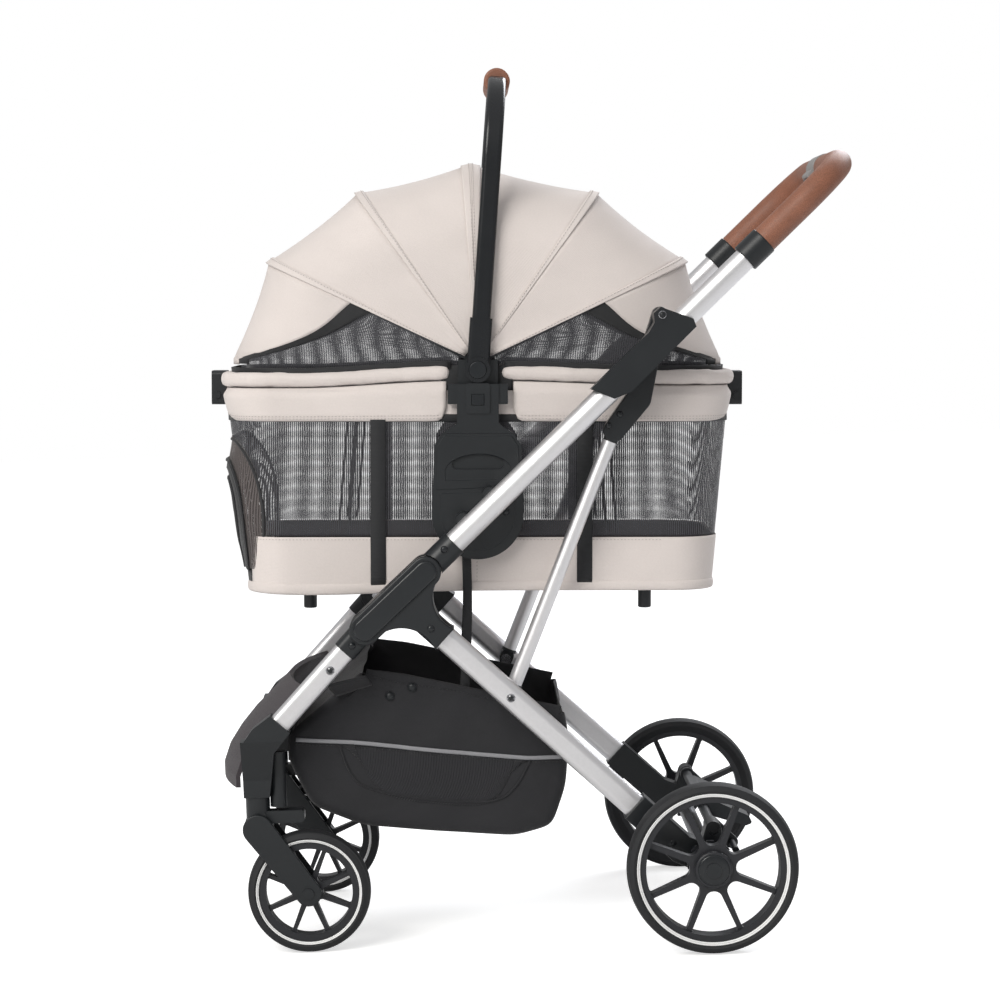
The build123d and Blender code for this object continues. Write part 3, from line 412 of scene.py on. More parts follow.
def foam_rubber(name, base):
    """Foamed rubber skin: matt and fine-pored, a little dusty."""
    material, tree = new_material(name)
    place = own_coordinates(tree, False)
    pores = add_node(tree, "ShaderNodeTexNoise", {"Scale": 900.0, "Detail": 3.0}, {"Vector": place})
    dust = add_node(tree, "ShaderNodeTexNoise", {"Scale": 18.0, "Detail": 5.0}, {"Vector": place})
    dye = tinted(tree, base, 0.82, 1.2, dust.outputs["Fac"])
    return close_bumped(material, dye, pores.outputs["Fac"], 0.3, 0.2 * MM,
                        {"Roughness": 0.72, "IOR": 1.52})


def make_finish(name):
    """The recipe of one finish."""
    hue = settings().colours
    tone = {key: (*getattr(hue, key), 1.0) for key in StrollerColours.__annotations__}
    # painted shade: the thread is the canopy colour at 0.7, standing in for the shadow line along
    # each seam
    thread_tone_with_seam_shade = (*[part * 0.7 for part in tone["canopy"][:3]], 1.0)
    recipes = {
        # solution-dyed polyester, plain weave: chalky beige with a fine cross grain
        "woven_polyester": lambda: woven(name, tone["canopy"]),
        # the same cloth on stuffed pieces, whose map is lost in the swelling
        "padded_polyester": lambda: woven(name, tone["canopy"], laid_flat=False),
        # the same yarn twisted for sewing: the cloth's own colour, darkened with painted shade so
        # that seams read as the thin shadow lines along them
        "sewing_thread": lambda: woven(name, thread_tone_with_seam_shade, spacing=0.5 * MM, laid_flat=False),
        # dark thread on black cloth and leather
        "dark_thread": lambda: woven(name, tone["webbing"], spacing=0.5 * MM, laid_flat=False),
        # brushed polyester lining: dark, dull, no visible weave
        "brushed_lining": lambda: woven(name, tone["lining"], spacing=1.2 * MM, strength=0.2,
                                        low=0.8),
        # brushed polyester on a foam pad, whose map is lost in the swelling
        "brushed_pad_cloth": lambda: woven(name, tone["pad"], spacing=1.8 * MM, laid_flat=False,
                                           low=0.8),
        # warp-knitted polyester net, drawn coarser than the real 1 mm so that its threads show
        "knitted_net": lambda: net(name, tone["net"], 2.5 * MM, 0.31),
        # the canopy's denser net
        "window_net": lambda: net(name, tone["net"], 2.2 * MM, 0.44),
        # a closer brownish net, for the door's gusset
        "gusset_net": lambda: net(name, tone["lining"], 2.2 * MM, 0.62),
        # nylon webbing: close ribs across the strap, half matt
        "nylon_webbing": lambda: ribbed(name, tone["webbing"], 1.6 * MM),
        # grosgrain binding over an edge: fine ribs
        "grosgrain_binding": lambda: ribbed(name, tone["webbing"], 1.2 * MM, roughness=0.6),
        # rib-knit pocket cloth: ribs run down the pocket
        "rib_knit": lambda: ribbed(name, tone["basket"], 3.2 * MM, axis="X", roughness=0.85,
                                   strength=0.9),
        # coated oxford polyester: dark, a dull gleam from the coating on its inner side
        "oxford_cloth": lambda: woven(name, tone["basket"], spacing=1.4 * MM, strength=0.3,
                                      low=0.75, sheen=0.1, roughness=0.78, coat=0.06),
        # the same cloth stretched over the footrest's frame, a little faded
        "footrest_cloth": lambda: woven(name, srgb("#413C40"), spacing=1.4 * MM, laid_flat=False,
                                        low=0.8, sheen=0.1),
        # glass-bead reflective piping: flat grey with a grainy gloss
        "bead_reflective_tape": lambda: ribbed(name, tone["reflective"], 1.0 * MM, roughness=0.45,
                                               strength=0.2),
        # embossed polyurethane leatherette over foam
        "tan_leatherette": lambda: leather(name, tone["leather"]),
        # satin silver anodising on drawn aluminium tube: soft long highlights
        "anodised_aluminium": lambda: metal(name, tone["silver"], 0.42, (1.0, 40.0, 1.0)),
        # nickel-plated steel of rivets, bolts and pins: bright and smooth
        "plated_steel": lambda: metal(name, srgb("#C8C8CC"), 0.2, worn=0.06),
        # zinc-plated steel axle: greyer and duller
        "zinc_steel": lambda: metal(name, srgb("#8C8D90"), 0.38),
        # glass-filled nylon, spark-eroded mould: black, soft gloss
        "moulded_nylon": lambda: moulded(name, tone["nylon"], 0.38),
        # the same nylon from a polished mould: clear highlight
        "polished_nylon": lambda: moulded(name, tone["nylon"], 0.24, grain=0.06, worn=0.04),
        # wheel nylon: a little greyer
        "wheel_nylon": lambda: moulded(name, tone["spokes"], 0.4),
        # satin powder coat on steel tube: orange-peel bump under a low gloss
        "powder_coat": lambda: moulded(name, srgb("#191B1E"), 0.26, grain=0.2, grit=1.6 * MM),
        # foamed rubber tyre
        "foamed_rubber": lambda: foam_rubber(name, tone["tread"]),
        # white ink printed on the tyre's wall
        "tyre_print": lambda: moulded(name, tone["stripe"], 0.55, grain=0.3),
        # grey satin plastic of the release insert
        "grey_satin_plastic": lambda: moulded(name, srgb("#8E8C8B"), 0.4),
        # nylon coil zip: black, beady gloss
        "zip_coil": lambda: ribbed(name, srgb("#17181B"), 1.6 * MM, roughness=0.35, strength=1.0),
    }
    return recipes[name]()


def finish_of(name):
    """A finish by its name, made the first time it is asked for."""
    return bpy.data.materials.get(name) or make_finish(name)


# ------------------------------------------------------------ making meshes
def settle(piece):
    """Applies every modifier of a piece to its mesh."""
    bpy.context.view_layer.update()
    depsgraph = bpy.context.evaluated_depsgraph_get()
    mesh = bpy.data.meshes.new_from_object(piece.evaluated_get(depsgraph))
    piece.modifiers.clear()
    piece.data = mesh
    return piece


def coat(mesh, finish):
    """Makes a finish the only one of a mesh."""
    mesh.materials.clear()
    mesh.materials.append(finish_of(finish))
    for polygon in mesh.polygons:
        polygon.material_index = 0


def new_piece(name, mesh, finish):
    """Puts a mesh in the scene as a smooth piece with a finish."""
    mesh.name = name
    piece = bpy.data.objects.new(name, mesh)
    bpy.context.scene.collection.objects.link(piece)
    coat(mesh, finish)
    for polygon in mesh.polygons:
        polygon.use_smooth = True
    return piece


def steps(points):
    """Running length along a row of points."""
    total, marks = 0.0, [0.0]
    for before, after in zip(points, points[1:]):
        total += (after - before).length
        marks.append(total)
    return marks


def along(line, share):
    """The point at a share of a line's length."""
    marks = steps(line)
    target = min(max(share, 0), 1) * marks[-1]
    index = min(len(line) - 2, max(0, bisect.bisect_left(marks, target) - 1))
    before, after = line[index], line[index + 1]
    way = after - before
    return before + way * ((target - marks[index]) / max(way.length, 1e-9))


def cloth_mesh(rows, away_from=None, chart=None):
    """Quads through rows of points, facing away from a point. The cloth map is in metres: along the
    rows and across them, or by a chart(point, centre of its face)."""
    width = len(rows[0])
    across = [steps(row) for row in rows]
    down = [steps(column) for column in zip(*rows)]
    mesh = bpy.data.meshes.new("cloth")
    faces = []
    for i in range(len(rows) - 1):
        for j in range(width - 1):
            faces.append([(i, j), (i, j + 1), (i + 1, j + 1), (i + 1, j)])
    mesh.from_pydata([point for row in rows for point in row], [],
                     [[a * width + b for a, b in face] for face in faces])
    cloth_map = mesh.uv_layers.new(name="UVMap")
    flat = []
    for face in faces:
        if chart:
            centre = sum((rows[a][b] for a, b in face), Vector()) / 4
            flat.extend(value for a, b in face for value in chart(rows[a][b], centre))
        else:
            flat.extend(value for a, b in face for value in (across[a][b], down[b][a]))
    cloth_map.data.foreach_set("uv", flat)
    if away_from is not None:
        turned = sum(polygon.normal.dot(polygon.center - away_from) for polygon in mesh.polygons)
        if turned < 0:
            mesh.flip_normals()
    return mesh


def changed(mesh, change):
    """Makes one change to the points and faces of a mesh."""
    work = bmesh.new()
    work.from_mesh(mesh)
    change(work)
    work.to_mesh(mesh)
    work.free()
    return mesh


def tidy(mesh):
    """Merges doubled points and drops loose ones."""
    def change(work):
        bmesh.ops.remove_doubles(work, verts=work.verts, dist=0.02 * MM)
        loose = [vertex for vertex in work.verts if not vertex.link_faces]
        bmesh.ops.delete(work, geom=loose, context="VERTS")
    return changed(mesh, change)


def outward(mesh):
    """Turns the faces of closed shells outwards."""
    return changed(mesh, lambda work: bmesh.ops.recalc_face_normals(work, faces=work.faces))


def closed_shell(mesh):
    """Joins the seam of a carried section, caps its open ends and turns its faces outwards."""
    def change(work):
        bmesh.ops.remove_doubles(work, verts=work.verts, dist=0.01 * MM)
        ends = [edge for edge in work.edges if edge.is_boundary]
        if ends:
            bmesh.ops.holes_fill(work, edges=ends, sides=0)
        bmesh.ops.recalc_face_normals(work, faces=work.faces)
    return changed(mesh, change)


def walled(piece, thickness, offset=-1.0):
    """Gives a sheet its thickness: behind its face, or half to each side at offset 0."""
    wall = piece.modifiers.new("wall", "SOLIDIFY")
    wall.thickness, wall.offset = thickness, offset
    return settle(piece)


def cloth_piece(name, rows, finish, thickness, away_from, chart=None, offset=-1.0):
    """A sheet with a real thickness."""
    sheet = new_piece(name, tidy(cloth_mesh(rows, away_from, chart)), finish)
    return walled(sheet, thickness, offset)


def rounded_off(piece):
    """Smooths a piece by one level of subdivision."""
    rounding = piece.modifiers.new("rounding", "SUBSURF")
    rounding.levels = rounding.render_levels = 1
    return settle(piece)


def reshaped(piece, moved):
    """Moves each point of a piece by a rule in the carrier's own level frame."""
    for vertex in piece.data.vertices:
        vertex.co = CARRIER @ moved(LEVEL @ vertex.co)
    return piece


def tube_mesh(path, normals, outline, closed=False):
    """A section carried along a path: outline holds (across, outward) pairs, or a function of the
    share of the way along."""
    count = len(path)
    rings = []
    for index, point in enumerate(path):
        before = path[index - 1] if index or closed else path[0]
        after = path[(index + 1) % count] if index < count - 1 or closed else path[-1]
        ahead = (after - before).normalized()
        out = (normals[index] - ahead * normals[index].dot(ahead)).normalized()
        side = ahead.cross(out)
        section = outline(index / (count - 1)) if callable(outline) else outline
        rings.append([point + side * across + out * rise for across, rise in section])
    if closed:
        rings.append(rings[0])
    return closed_shell(cloth_mesh([ring + [ring[0]] for ring in rings]))


def along_wall(spots, outline):
    """A section carried along places on a wall, each with the way that the wall faces."""
    return tube_mesh([spot for spot, _ in spots], [out for _, out in spots], outline)


def round_section(radius, count):
    """A circle as a section."""
    turns = [2 * math.pi * index / count for index in range(count)]
    return [(radius * math.cos(turn), radius * math.sin(turn)) for turn in turns]


def flat_section(width, thickness):
    """A flat tape with bevelled edges, standing on the surface that it follows."""
    half, bevel = width / 2, thickness * 0.4
    return [(-half, 0), (half, 0), (half, thickness - bevel), (half - bevel, thickness),
            (-half + bevel, thickness), (-half, thickness - bevel)]


def oval_section(half_w, half_h, power, count):
    """A puffed oval as a section."""
    section = []
    for index in range(count):
        turn = 2 * math.pi * index / count
        cosine, sine = math.cos(turn), math.sin(turn)
        section.append((half_w * math.copysign(abs(cosine) ** (2 / power), cosine),
                        half_h * math.copysign(abs(sine) ** (2 / power), sine)))
    return section


def joined(meshes):
    """Several meshes as one."""
    work = bmesh.new()
    for mesh in meshes:
        work.from_mesh(mesh)
    whole = bpy.data.meshes.new("joined")
    work.to_mesh(whole)
    work.free()
    return whole


def ripple(point, scale, seed=0.0):
    """A repeatable soft wave of the place, from -1 to 1."""
    return noise.noise(point * scale + Vector((seed, seed * 1.7, -seed)))


def halved(low, high, below):
    """Closes two values in on the place between them where a test stops being true."""
    for _ in range(24):
        middle = (low + high) / 2
        if below(middle):
            low = middle
        else:
            high = middle
    return low, high


def even(first, last, count):
    """Evenly spaced values from first to last."""
    return [first + (last - first) * index / count for index in range(count + 1)]


def smoothstep(value):
    """Eases 0 to 1."""
    value = min(1.0, max(0.0, value))
    return value * value * (3 - 2 * value)


def pairs(*stems):
    """The left and the right node of each stem."""
    return [stem + "_" + name for stem in stems for name, _ in SIDES]


def paint(finish, *nodes):
    """Gives CAD nodes a finish."""
    for node in nodes:
        coat(NODES[node].data, finish)


def paint_where(finish, node, chosen):
    """Gives the faces of a CAD node that pass a test a second finish."""
    mesh = NODES[node].data
    mesh.materials.append(finish_of(finish))
    for polygon in mesh.polygons:
        if chosen(polygon.center):
            polygon.material_index = len(mesh.materials) - 1


def swell(piece, voxel, cap):
    """Blows a closed piece up as stuffed cloth and keeps the shape it takes, within a cap."""
    pressure, frames = 4.0, 20
    remesh = piece.modifiers.new("voxels", "REMESH")
    remesh.mode = "VOXEL"
    remesh.voxel_size = voxel
    settle(piece)
    rest = [vertex.co.copy() for vertex in piece.data.vertices]
    cloth = piece.modifiers.new("stuffing", "CLOTH")
    cloth.settings.quality = 4
    cloth.settings.use_pressure = True
    cloth.settings.uniform_pressure_force = pressure
    cloth.settings.effector_weights.gravity = 0
    cloth.collision_settings.use_collision = False
    for step in range(1, frames + 1):
        bpy.context.scene.frame_set(step)
    settle(piece)
    bpy.context.scene.frame_set(1)
    for vertex, start in zip(piece.data.vertices, rest):
        moved = vertex.co - start
        if moved.length > cap:
            vertex.co = start + moved * (cap / moved.length)
    return rounded_off(piece)


# ------------------------------------------------------------ node trees for what repeats
def group_tree(name, inputs):
    """An empty geometry tree with named inputs, and the identifiers of those inputs."""
    tree = bpy.data.node_groups.new(name, "GeometryNodeTree")
    tree.interface.new_socket("Geometry", in_out="INPUT", socket_type="NodeSocketGeometry")
    names = {}
    for label, kind, value in inputs:
        socket = tree.interface.new_socket(label, in_out="INPUT", socket_type=kind)
        if value is not None:
            socket.default_value = value
        names[label] = socket.identifier
    tree.interface.new_socket("Geometry", in_out="OUTPUT", socket_type="NodeSocketGeometry")
    return tree, names


def finish_tree(tree, geometry, material):
    """Realizes what a tree has placed and gives it its material."""
    real = add_node(tree, "GeometryNodeRealizeInstances", links={"Geometry": geometry})
    painted = add_node(tree, "GeometryNodeSetMaterial", links={"Geometry": real.outputs["Geometry"],
                                                               "Material": material})
    add_node(tree, "NodeGroupOutput", links={0: painted.outputs["Geometry"]})


def stitch_tree():
    """Stitches at an even spacing along every line of a curve."""
    trim = settings().trim
    tree, names = group_tree("stitch_rows", [
        ("Spacing", "NodeSocketFloat", trim.stitch_gap), ("Stitch", "NodeSocketFloat", trim.stitch),
        ("Thread", "NodeSocketFloat", trim.thread), ("Material", "NodeSocketMaterial", None)])
    given = add_node(tree, "NodeGroupInput").outputs
    spaced = add_node(tree, "GeometryNodeCurveToPoints", {"mode": "LENGTH"},
                      {"Curve": given["Geometry"], "Length": given["Spacing"]})
    one = add_node(tree, "GeometryNodeMeshIcoSphere", {"Radius": 1.0, "Subdivisions": 1})
    half = add_node(tree, "ShaderNodeMath", {"operation": "MULTIPLY", 1: 0.5}, {0: given["Stitch"]})
    size = add_node(tree, "ShaderNodeCombineXYZ",
                    links={"X": given["Thread"], "Y": given["Thread"], "Z": half.outputs[0]})
    placed = add_node(tree, "GeometryNodeInstanceOnPoints",
                      links={"Points": spaced.outputs["Points"], "Instance": one.outputs["Mesh"],
                             "Rotation": spaced.outputs["Rotation"], "Scale": size.outputs[0]})
    finish_tree(tree, placed.outputs["Instances"], given["Material"])
    return tree, names


def rivet_tree():
    """A domed head with a flat washer on each point, turned to the point's own facing."""
    tree, names = group_tree("rivet_heads", [
        ("Radius", "NodeSocketFloat", settings().trim.rivet),
        ("Material", "NodeSocketMaterial", None)])
    given = add_node(tree, "NodeGroupInput").outputs
    facing = add_node(tree, "GeometryNodeInputNamedAttribute",
                      {"data_type": "FLOAT_VECTOR", "Name": "facing"})
    turned = add_node(tree, "FunctionNodeAlignRotationToVector", {"axis": "Z"},
                      {"Vector": facing.outputs["Attribute"]})
    dome = add_node(tree, "GeometryNodeMeshUVSphere", {"Segments": 20, "Rings": 12, "Radius": 1.0})
    low = add_node(tree, "GeometryNodeTransform", {"Scale": (0.82, 0.82, 0.42)},
                   {"Geometry": dome.outputs["Mesh"]})
    washer = add_node(tree, "GeometryNodeMeshCylinder",
                      {"Vertices": 24, "Radius": 1.0, "Depth": 0.28})
    both = add_node(tree, "GeometryNodeJoinGeometry")
    tree.links.new(low.outputs["Geometry"], both.inputs[0])
    tree.links.new(washer.outputs["Mesh"], both.inputs[0])
    size = add_node(tree, "ShaderNodeCombineXYZ", links={axis: given["Radius"] for axis in "XYZ"})
    placed = add_node(tree, "GeometryNodeInstanceOnPoints",
                      links={"Points": given["Geometry"], "Instance": both.outputs["Geometry"],
                             "Rotation": turned.outputs["Rotation"], "Scale": size.outputs[0]})
    finish_tree(tree, placed.outputs["Instances"], given["Material"])
    return tree, names


def run_tree(name, data, tree_and_names, values, finish, body):
    """Runs a geometry tree on a curve or points and keeps what comes out as a plain piece."""
    tree, names = tree_and_names
    source = bpy.data.objects.new(name, data)
    bpy.context.scene.collection.objects.link(source)
    modifier = source.modifiers.new("nodes", "NODES")
    modifier.node_group = tree
    for label, value in values.items():
        modifier[names[label]] = value
    bpy.context.view_layer.update()
    evaluated = source.evaluated_get(bpy.context.evaluated_depsgraph_get())
    mesh = bpy.data.meshes.new_from_object(evaluated)
    bpy.data.objects.remove(source)
    piece = new_piece(name, mesh, finish)
    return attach(piece, body) if body else piece


def stitched(name, lines, body, finish="sewing_thread"):
    """Rows of stitches along lines of points, riding on a body."""
    curve = bpy.data.curves.new(name, "CURVE")
    curve.dimensions = "3D"
    for line in lines:
        spline = curve.splines.new("POLY")
        spline.points.add(len(line) - 1)
        for target, point in zip(spline.points, line):
            target.co = (*point, 1.0)
    return run_tree(name, curve, stitch_tree(), {"Material": finish_of(finish)}, finish, body)


def riveted(name, spots, body, radius, finish):
    """Rivet heads at spots, each a place and the way that it faces."""
    mesh = bpy.data.meshes.new(name)
    mesh.from_pydata([place for place, _ in spots], [], [])
    facing = mesh.attributes.new("facing", "FLOAT_VECTOR", "POINT")
    facing.data.foreach_set("vector", [part for _, way in spots for part in way])
    values = {"Material": finish_of(finish), "Radius": radius}
    return run_tree(name, mesh, rivet_tree(), values, finish, body)


def fold_by_lean(piece):
    """Bakes the placement of cloth between two hoops into its mesh."""
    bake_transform(piece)
    return piece


# ------------------------------------------------------------ canopy
def hoop_point(share, lean, reach, half_w=CANOPY_HALF_W):
    """A point of a hoop's line in the carrier's frame: share 0 and 1 at its pivots, 0.5 on top."""
    corner = 88 * MM
    leg, bend = 0.55, 0.25  # shares of half the hoop: its straight leg and its rounded corner
    near = 1 - abs(2 * share - 1)
    if near < leg:
        y, rise = half_w, (reach - corner) * near / leg
    elif near < leg + bend:
        turn = (near - leg) / bend * math.pi / 2
        y = half_w - corner * (1 - math.cos(turn))
        rise = reach - corner + corner * math.sin(turn)
    else:
        y, rise = (half_w - corner) * (1 - near) / (1 - leg - bend), reach
    y = math.copysign(y, share - 0.5)
    return Vector((rise * math.sin(lean), y, HOOP_LEVEL + rise * math.cos(lean)))


def gore_point(share, climb, low, high, sag):
    """A point of the cloth between two hoops, which dips a little between them."""
    point = hoop_point(share, *low).lerp(hoop_point(share, *high), climb)
    near = 1 - abs(2 * share - 1)
    between = 4 * climb * (1 - climb)  # 0 at both hoops, 1 half way
    dip = sag * between
    upwards = Vector((point.x, 0, point.z - HOOP_LEVEL)).normalized()
    sideways = Vector((0, math.copysign(1, point.y), 0))
    on_top = smoothstep((near - 0.4) / 0.45)
    soft = ripple(point, 14, 2.0) * 0.7 * MM * between
    gather = math.sin(climb * 21 + point.y * 30) * 0.6 * MM * smoothstep(1 - near * 5)
    point = point - upwards * (dip * on_top + soft) - sideways * (dip * 0.3 * (1 - on_top) + gather)
    return CARRIER @ point


def share_at(radius, climb, low, high):
    """How far along the hoops the cloth stands at a radius from the pivots."""
    def within(share):
        point = hoop_point(share, *low).lerp(hoop_point(share, *high), climb)
        return math.hypot(point.x, point.z - HOOP_LEVEL) < radius
    return sum(halved(0.0, 0.4, within)) / 2


def gore_rows(low, high, start, end, sag, across=64, up=12, drop=0.0):
    """Rows of points over a gore, from one share of the hoop's length to another at each climb."""
    rows = [[gore_point(share, climb, low, high, sag)
             for share in even(start(climb), end(climb), across)] for climb in even(0, 1, up)]
    if drop:
        rows.insert(0, [point - LIFT * drop for point in rows[0]])
    return rows


def window_edge(climb):
    """Radius at which the lower gore's cloth stops and its net window begins."""
    sizes = settings().carrier
    forward = 1 - climb
    reach = sizes.window_front - sizes.window_back
    return sizes.window_back + reach * (0.32 * forward + 0.68 * forward ** 4)


def window_inner(climb):
    """Inner edge of the window's binding, which narrows towards the rim."""
    return window_edge(climb) - (13 + 15 * climb ** 2) * MM


def canopy_half(half, sign):
    """Three gores, the net window, its binding, the hoop hems and their stitches."""
    sizes = settings().carrier
    hoops = [hoop_lean_and_reach(half + "_rib_" + part) for part in HOOPS]
    rim = (math.copysign(math.radians(89.4), sign), ROLL_HIGH.x - 12 * MM, CANOPY_HALF_W - 10 * MM)
    bodies = [half + "_hoop_" + part for part in HOOPS]
    inside = on_carrier(0, 0, 40 * MM)
    hole = 17 * MM  # radius round the pivots that the cloth leaves free
    under_cloth, under_tape = 0.006, 0.004  # shares by which the tape and the net reach under

    def sewn(name, finish, thickness, span, first, last, sag, offset=-1.0, **size):
        """Cloth between two hoops, from one share of their length to another."""
        low, high, body_low, body_high = span
        rows = gore_rows(low, high, first, last, sag, **size)
        piece = cloth_piece(name, rows, finish, thickness, inside, offset=offset)
        return fold_by_lean(piece)

    def at(radius, span):
        """Where a radius, or one that changes with the climb, falls on the hoops' length."""
        low, high = span[:2]
        return lambda climb: share_at(radius(climb) if callable(radius) else radius, climb,
                                      low, high)

    def left_end(edge, more=0):
        return lambda climb: edge(climb) + more

    def right_end(edge, more=0):
        return lambda climb: 1 - (edge(climb) + more)

    low = (rim, hoops[0], "carrier", bodies[0])
    gores = []
    for name, span, radius, drop in (
            ("upper", (hoops[1], hoops[2], bodies[1], bodies[2]), hole, 0),
            ("middle", (hoops[0], hoops[1], bodies[0], bodies[1]), hole, 0),
            ("lower", low, window_edge, 7 * MM)):
        edge = at(radius, span)
        gores.append(sewn("canopy_%s_%s_gore" % (half, name), "woven_polyester", sizes.cloth, span,
                          edge, right_end(edge), sizes.sag, drop=drop))
    cloth_edge, tape_edge, net_edge = [at(radius, low)
                                       for radius in (window_edge, window_inner, hole)]
    for side, end in (("left", left_end), ("right", right_end)):
        sewn("window_binding_%s_%s" % (half, side), "grosgrain_binding", 1.0 * MM, low,
             end(tape_edge), end(cloth_edge, under_cloth), sizes.sag, -2.2,
             across=6, up=24, drop=6 * MM)
        sewn("window_net_%s_%s" % (half, side), "window_net", 0.5 * MM, low,
             end(net_edge), end(tape_edge, under_tape), sizes.sag * 2.2, -5,
             across=20, up=20, drop=16 * MM)
    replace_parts(gores[0], "canopy_" + half)
    for index, (part, body) in enumerate(zip(HOOPS, bodies)):
        goes_up = part != "top"
        other = hoops[index + (1 if goes_up else -1)]
        hem_on_hoop("%s_%s" % (half, part), body, hoops[index], other, goes_up, inside)


def hem_on_hoop(label, body, hoop, other, goes_up, inside):
    """The hem of the upper gore laid over a hoop, its loose edge standing off the gore below."""
    hem_w = settings().carrier.hem / MM
    # millimetres across the hem from the hoop's middle; the stitches follow the last but one
    across = [-3.5, -1.5, 1.5, 5.0, hem_w - 3.5] if goes_up else [-6.0, -3.0, 0.0, 4.0, 7.0]
    first = share_at(19 * MM, 0, hoop, hoop)
    rows, count = [], 90
    for place in across:
        row = []
        for step in range(count + 1):
            share = first + (1 - 2 * first) * step / count
            near = 1 - abs(2 * share - 1)
            centre = hoop_point(share, *hoop)
            here = CARRIER @ centre
            way = (CARRIER @ hoop_point(share, *other) - here).normalized() * (1 if goes_up else -1)
            top = Vector((centre.x, 0, centre.z - HOOP_LEVEL)).normalized()
            flank = Vector((0, math.copysign(1, centre.y), 0))
            out = (CARRIER.to_3x3() @ (top * smoothstep((near - 0.4) / 0.3)
                                       + flank * (1 - smoothstep((near - 0.5) / 0.3)))).normalized()
            beside = math.hypot(centre.x, centre.z - HOOP_LEVEL) / hoop[1]
            lifted = (0.9 + 0.9 * smoothstep((near - 0.55) / 0.2)) * MM
            row.append(here + way * place * MM * min(1, beside) + out * lifted)
        rows.append(row)
    hem = cloth_piece("canopy_hem_" + label, rows, "woven_polyester", 1.5 * MM, inside)
    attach(hem, body)
    seam = [point + (point - inside).normalized() * 0.4 * MM for point in rows[-2]]
    stitched("canopy_stitches_" + label, [seam], body)


class BuildCanopy(bpy.types.Operator):
    """Sew the fan canopy: gores, net windows, bindings and hems on both halves"""
    bl_idname = "stroller.build_canopy"
    bl_label = "Canopy"

    def execute(self, context):
        for half, sign in HALVES:
            canopy_half(half, sign)
            paint("moulded_nylon", *[half + "_rib_" + part for part in HOOPS])
        return {"FINISHED"}


# ------------------------------------------------------------ rim roll and skirt
def rim_line(side, reach, half, corner, start, step):
    """Points a step apart and their outward directions along half the rim, in plan."""
    line = []

    def straight(first, last, out):
        count = max(2, round((last - first).length / step))
        line.extend((first.lerp(last, index / count), out) for index in range(count))

    def bend(centre, first):
        count = max(6, round(corner * math.pi / 2 / step))
        for index in range(count):
            turn = first + math.pi / 2 * index / count
            out = Vector((math.cos(turn), math.sin(turn)))
            line.append((centre + out * corner, out))

    flat, wide = reach - corner, half - corner
    straight(Vector((start, -half)), Vector((flat, -half)), Vector((0, -1)))
    bend(Vector((flat, -wide)), -math.pi / 2)
    straight(Vector((reach, -wide)), Vector((reach, wide)), Vector((1, 0)))
    bend(Vector((flat, wide)), 0)
    straight(Vector((flat, half)), Vector((start, half)), Vector((0, 1)))
    line.append((Vector((start, half)), Vector((0, 1))))
    return [(Vector((point.x * side, point.y)), Vector((out.x * side, out.y)))
            for point, out in line]


def roll_level(x):
    """Height of the roll's middle: it climbs towards the carry handle."""
    low, rise = (-12.5, 8.5) if x < 0 else (-9.0, 5.0)
    return (low + rise * smoothstep(1 - (abs(x) - 30 * MM) / (190 * MM))) * MM


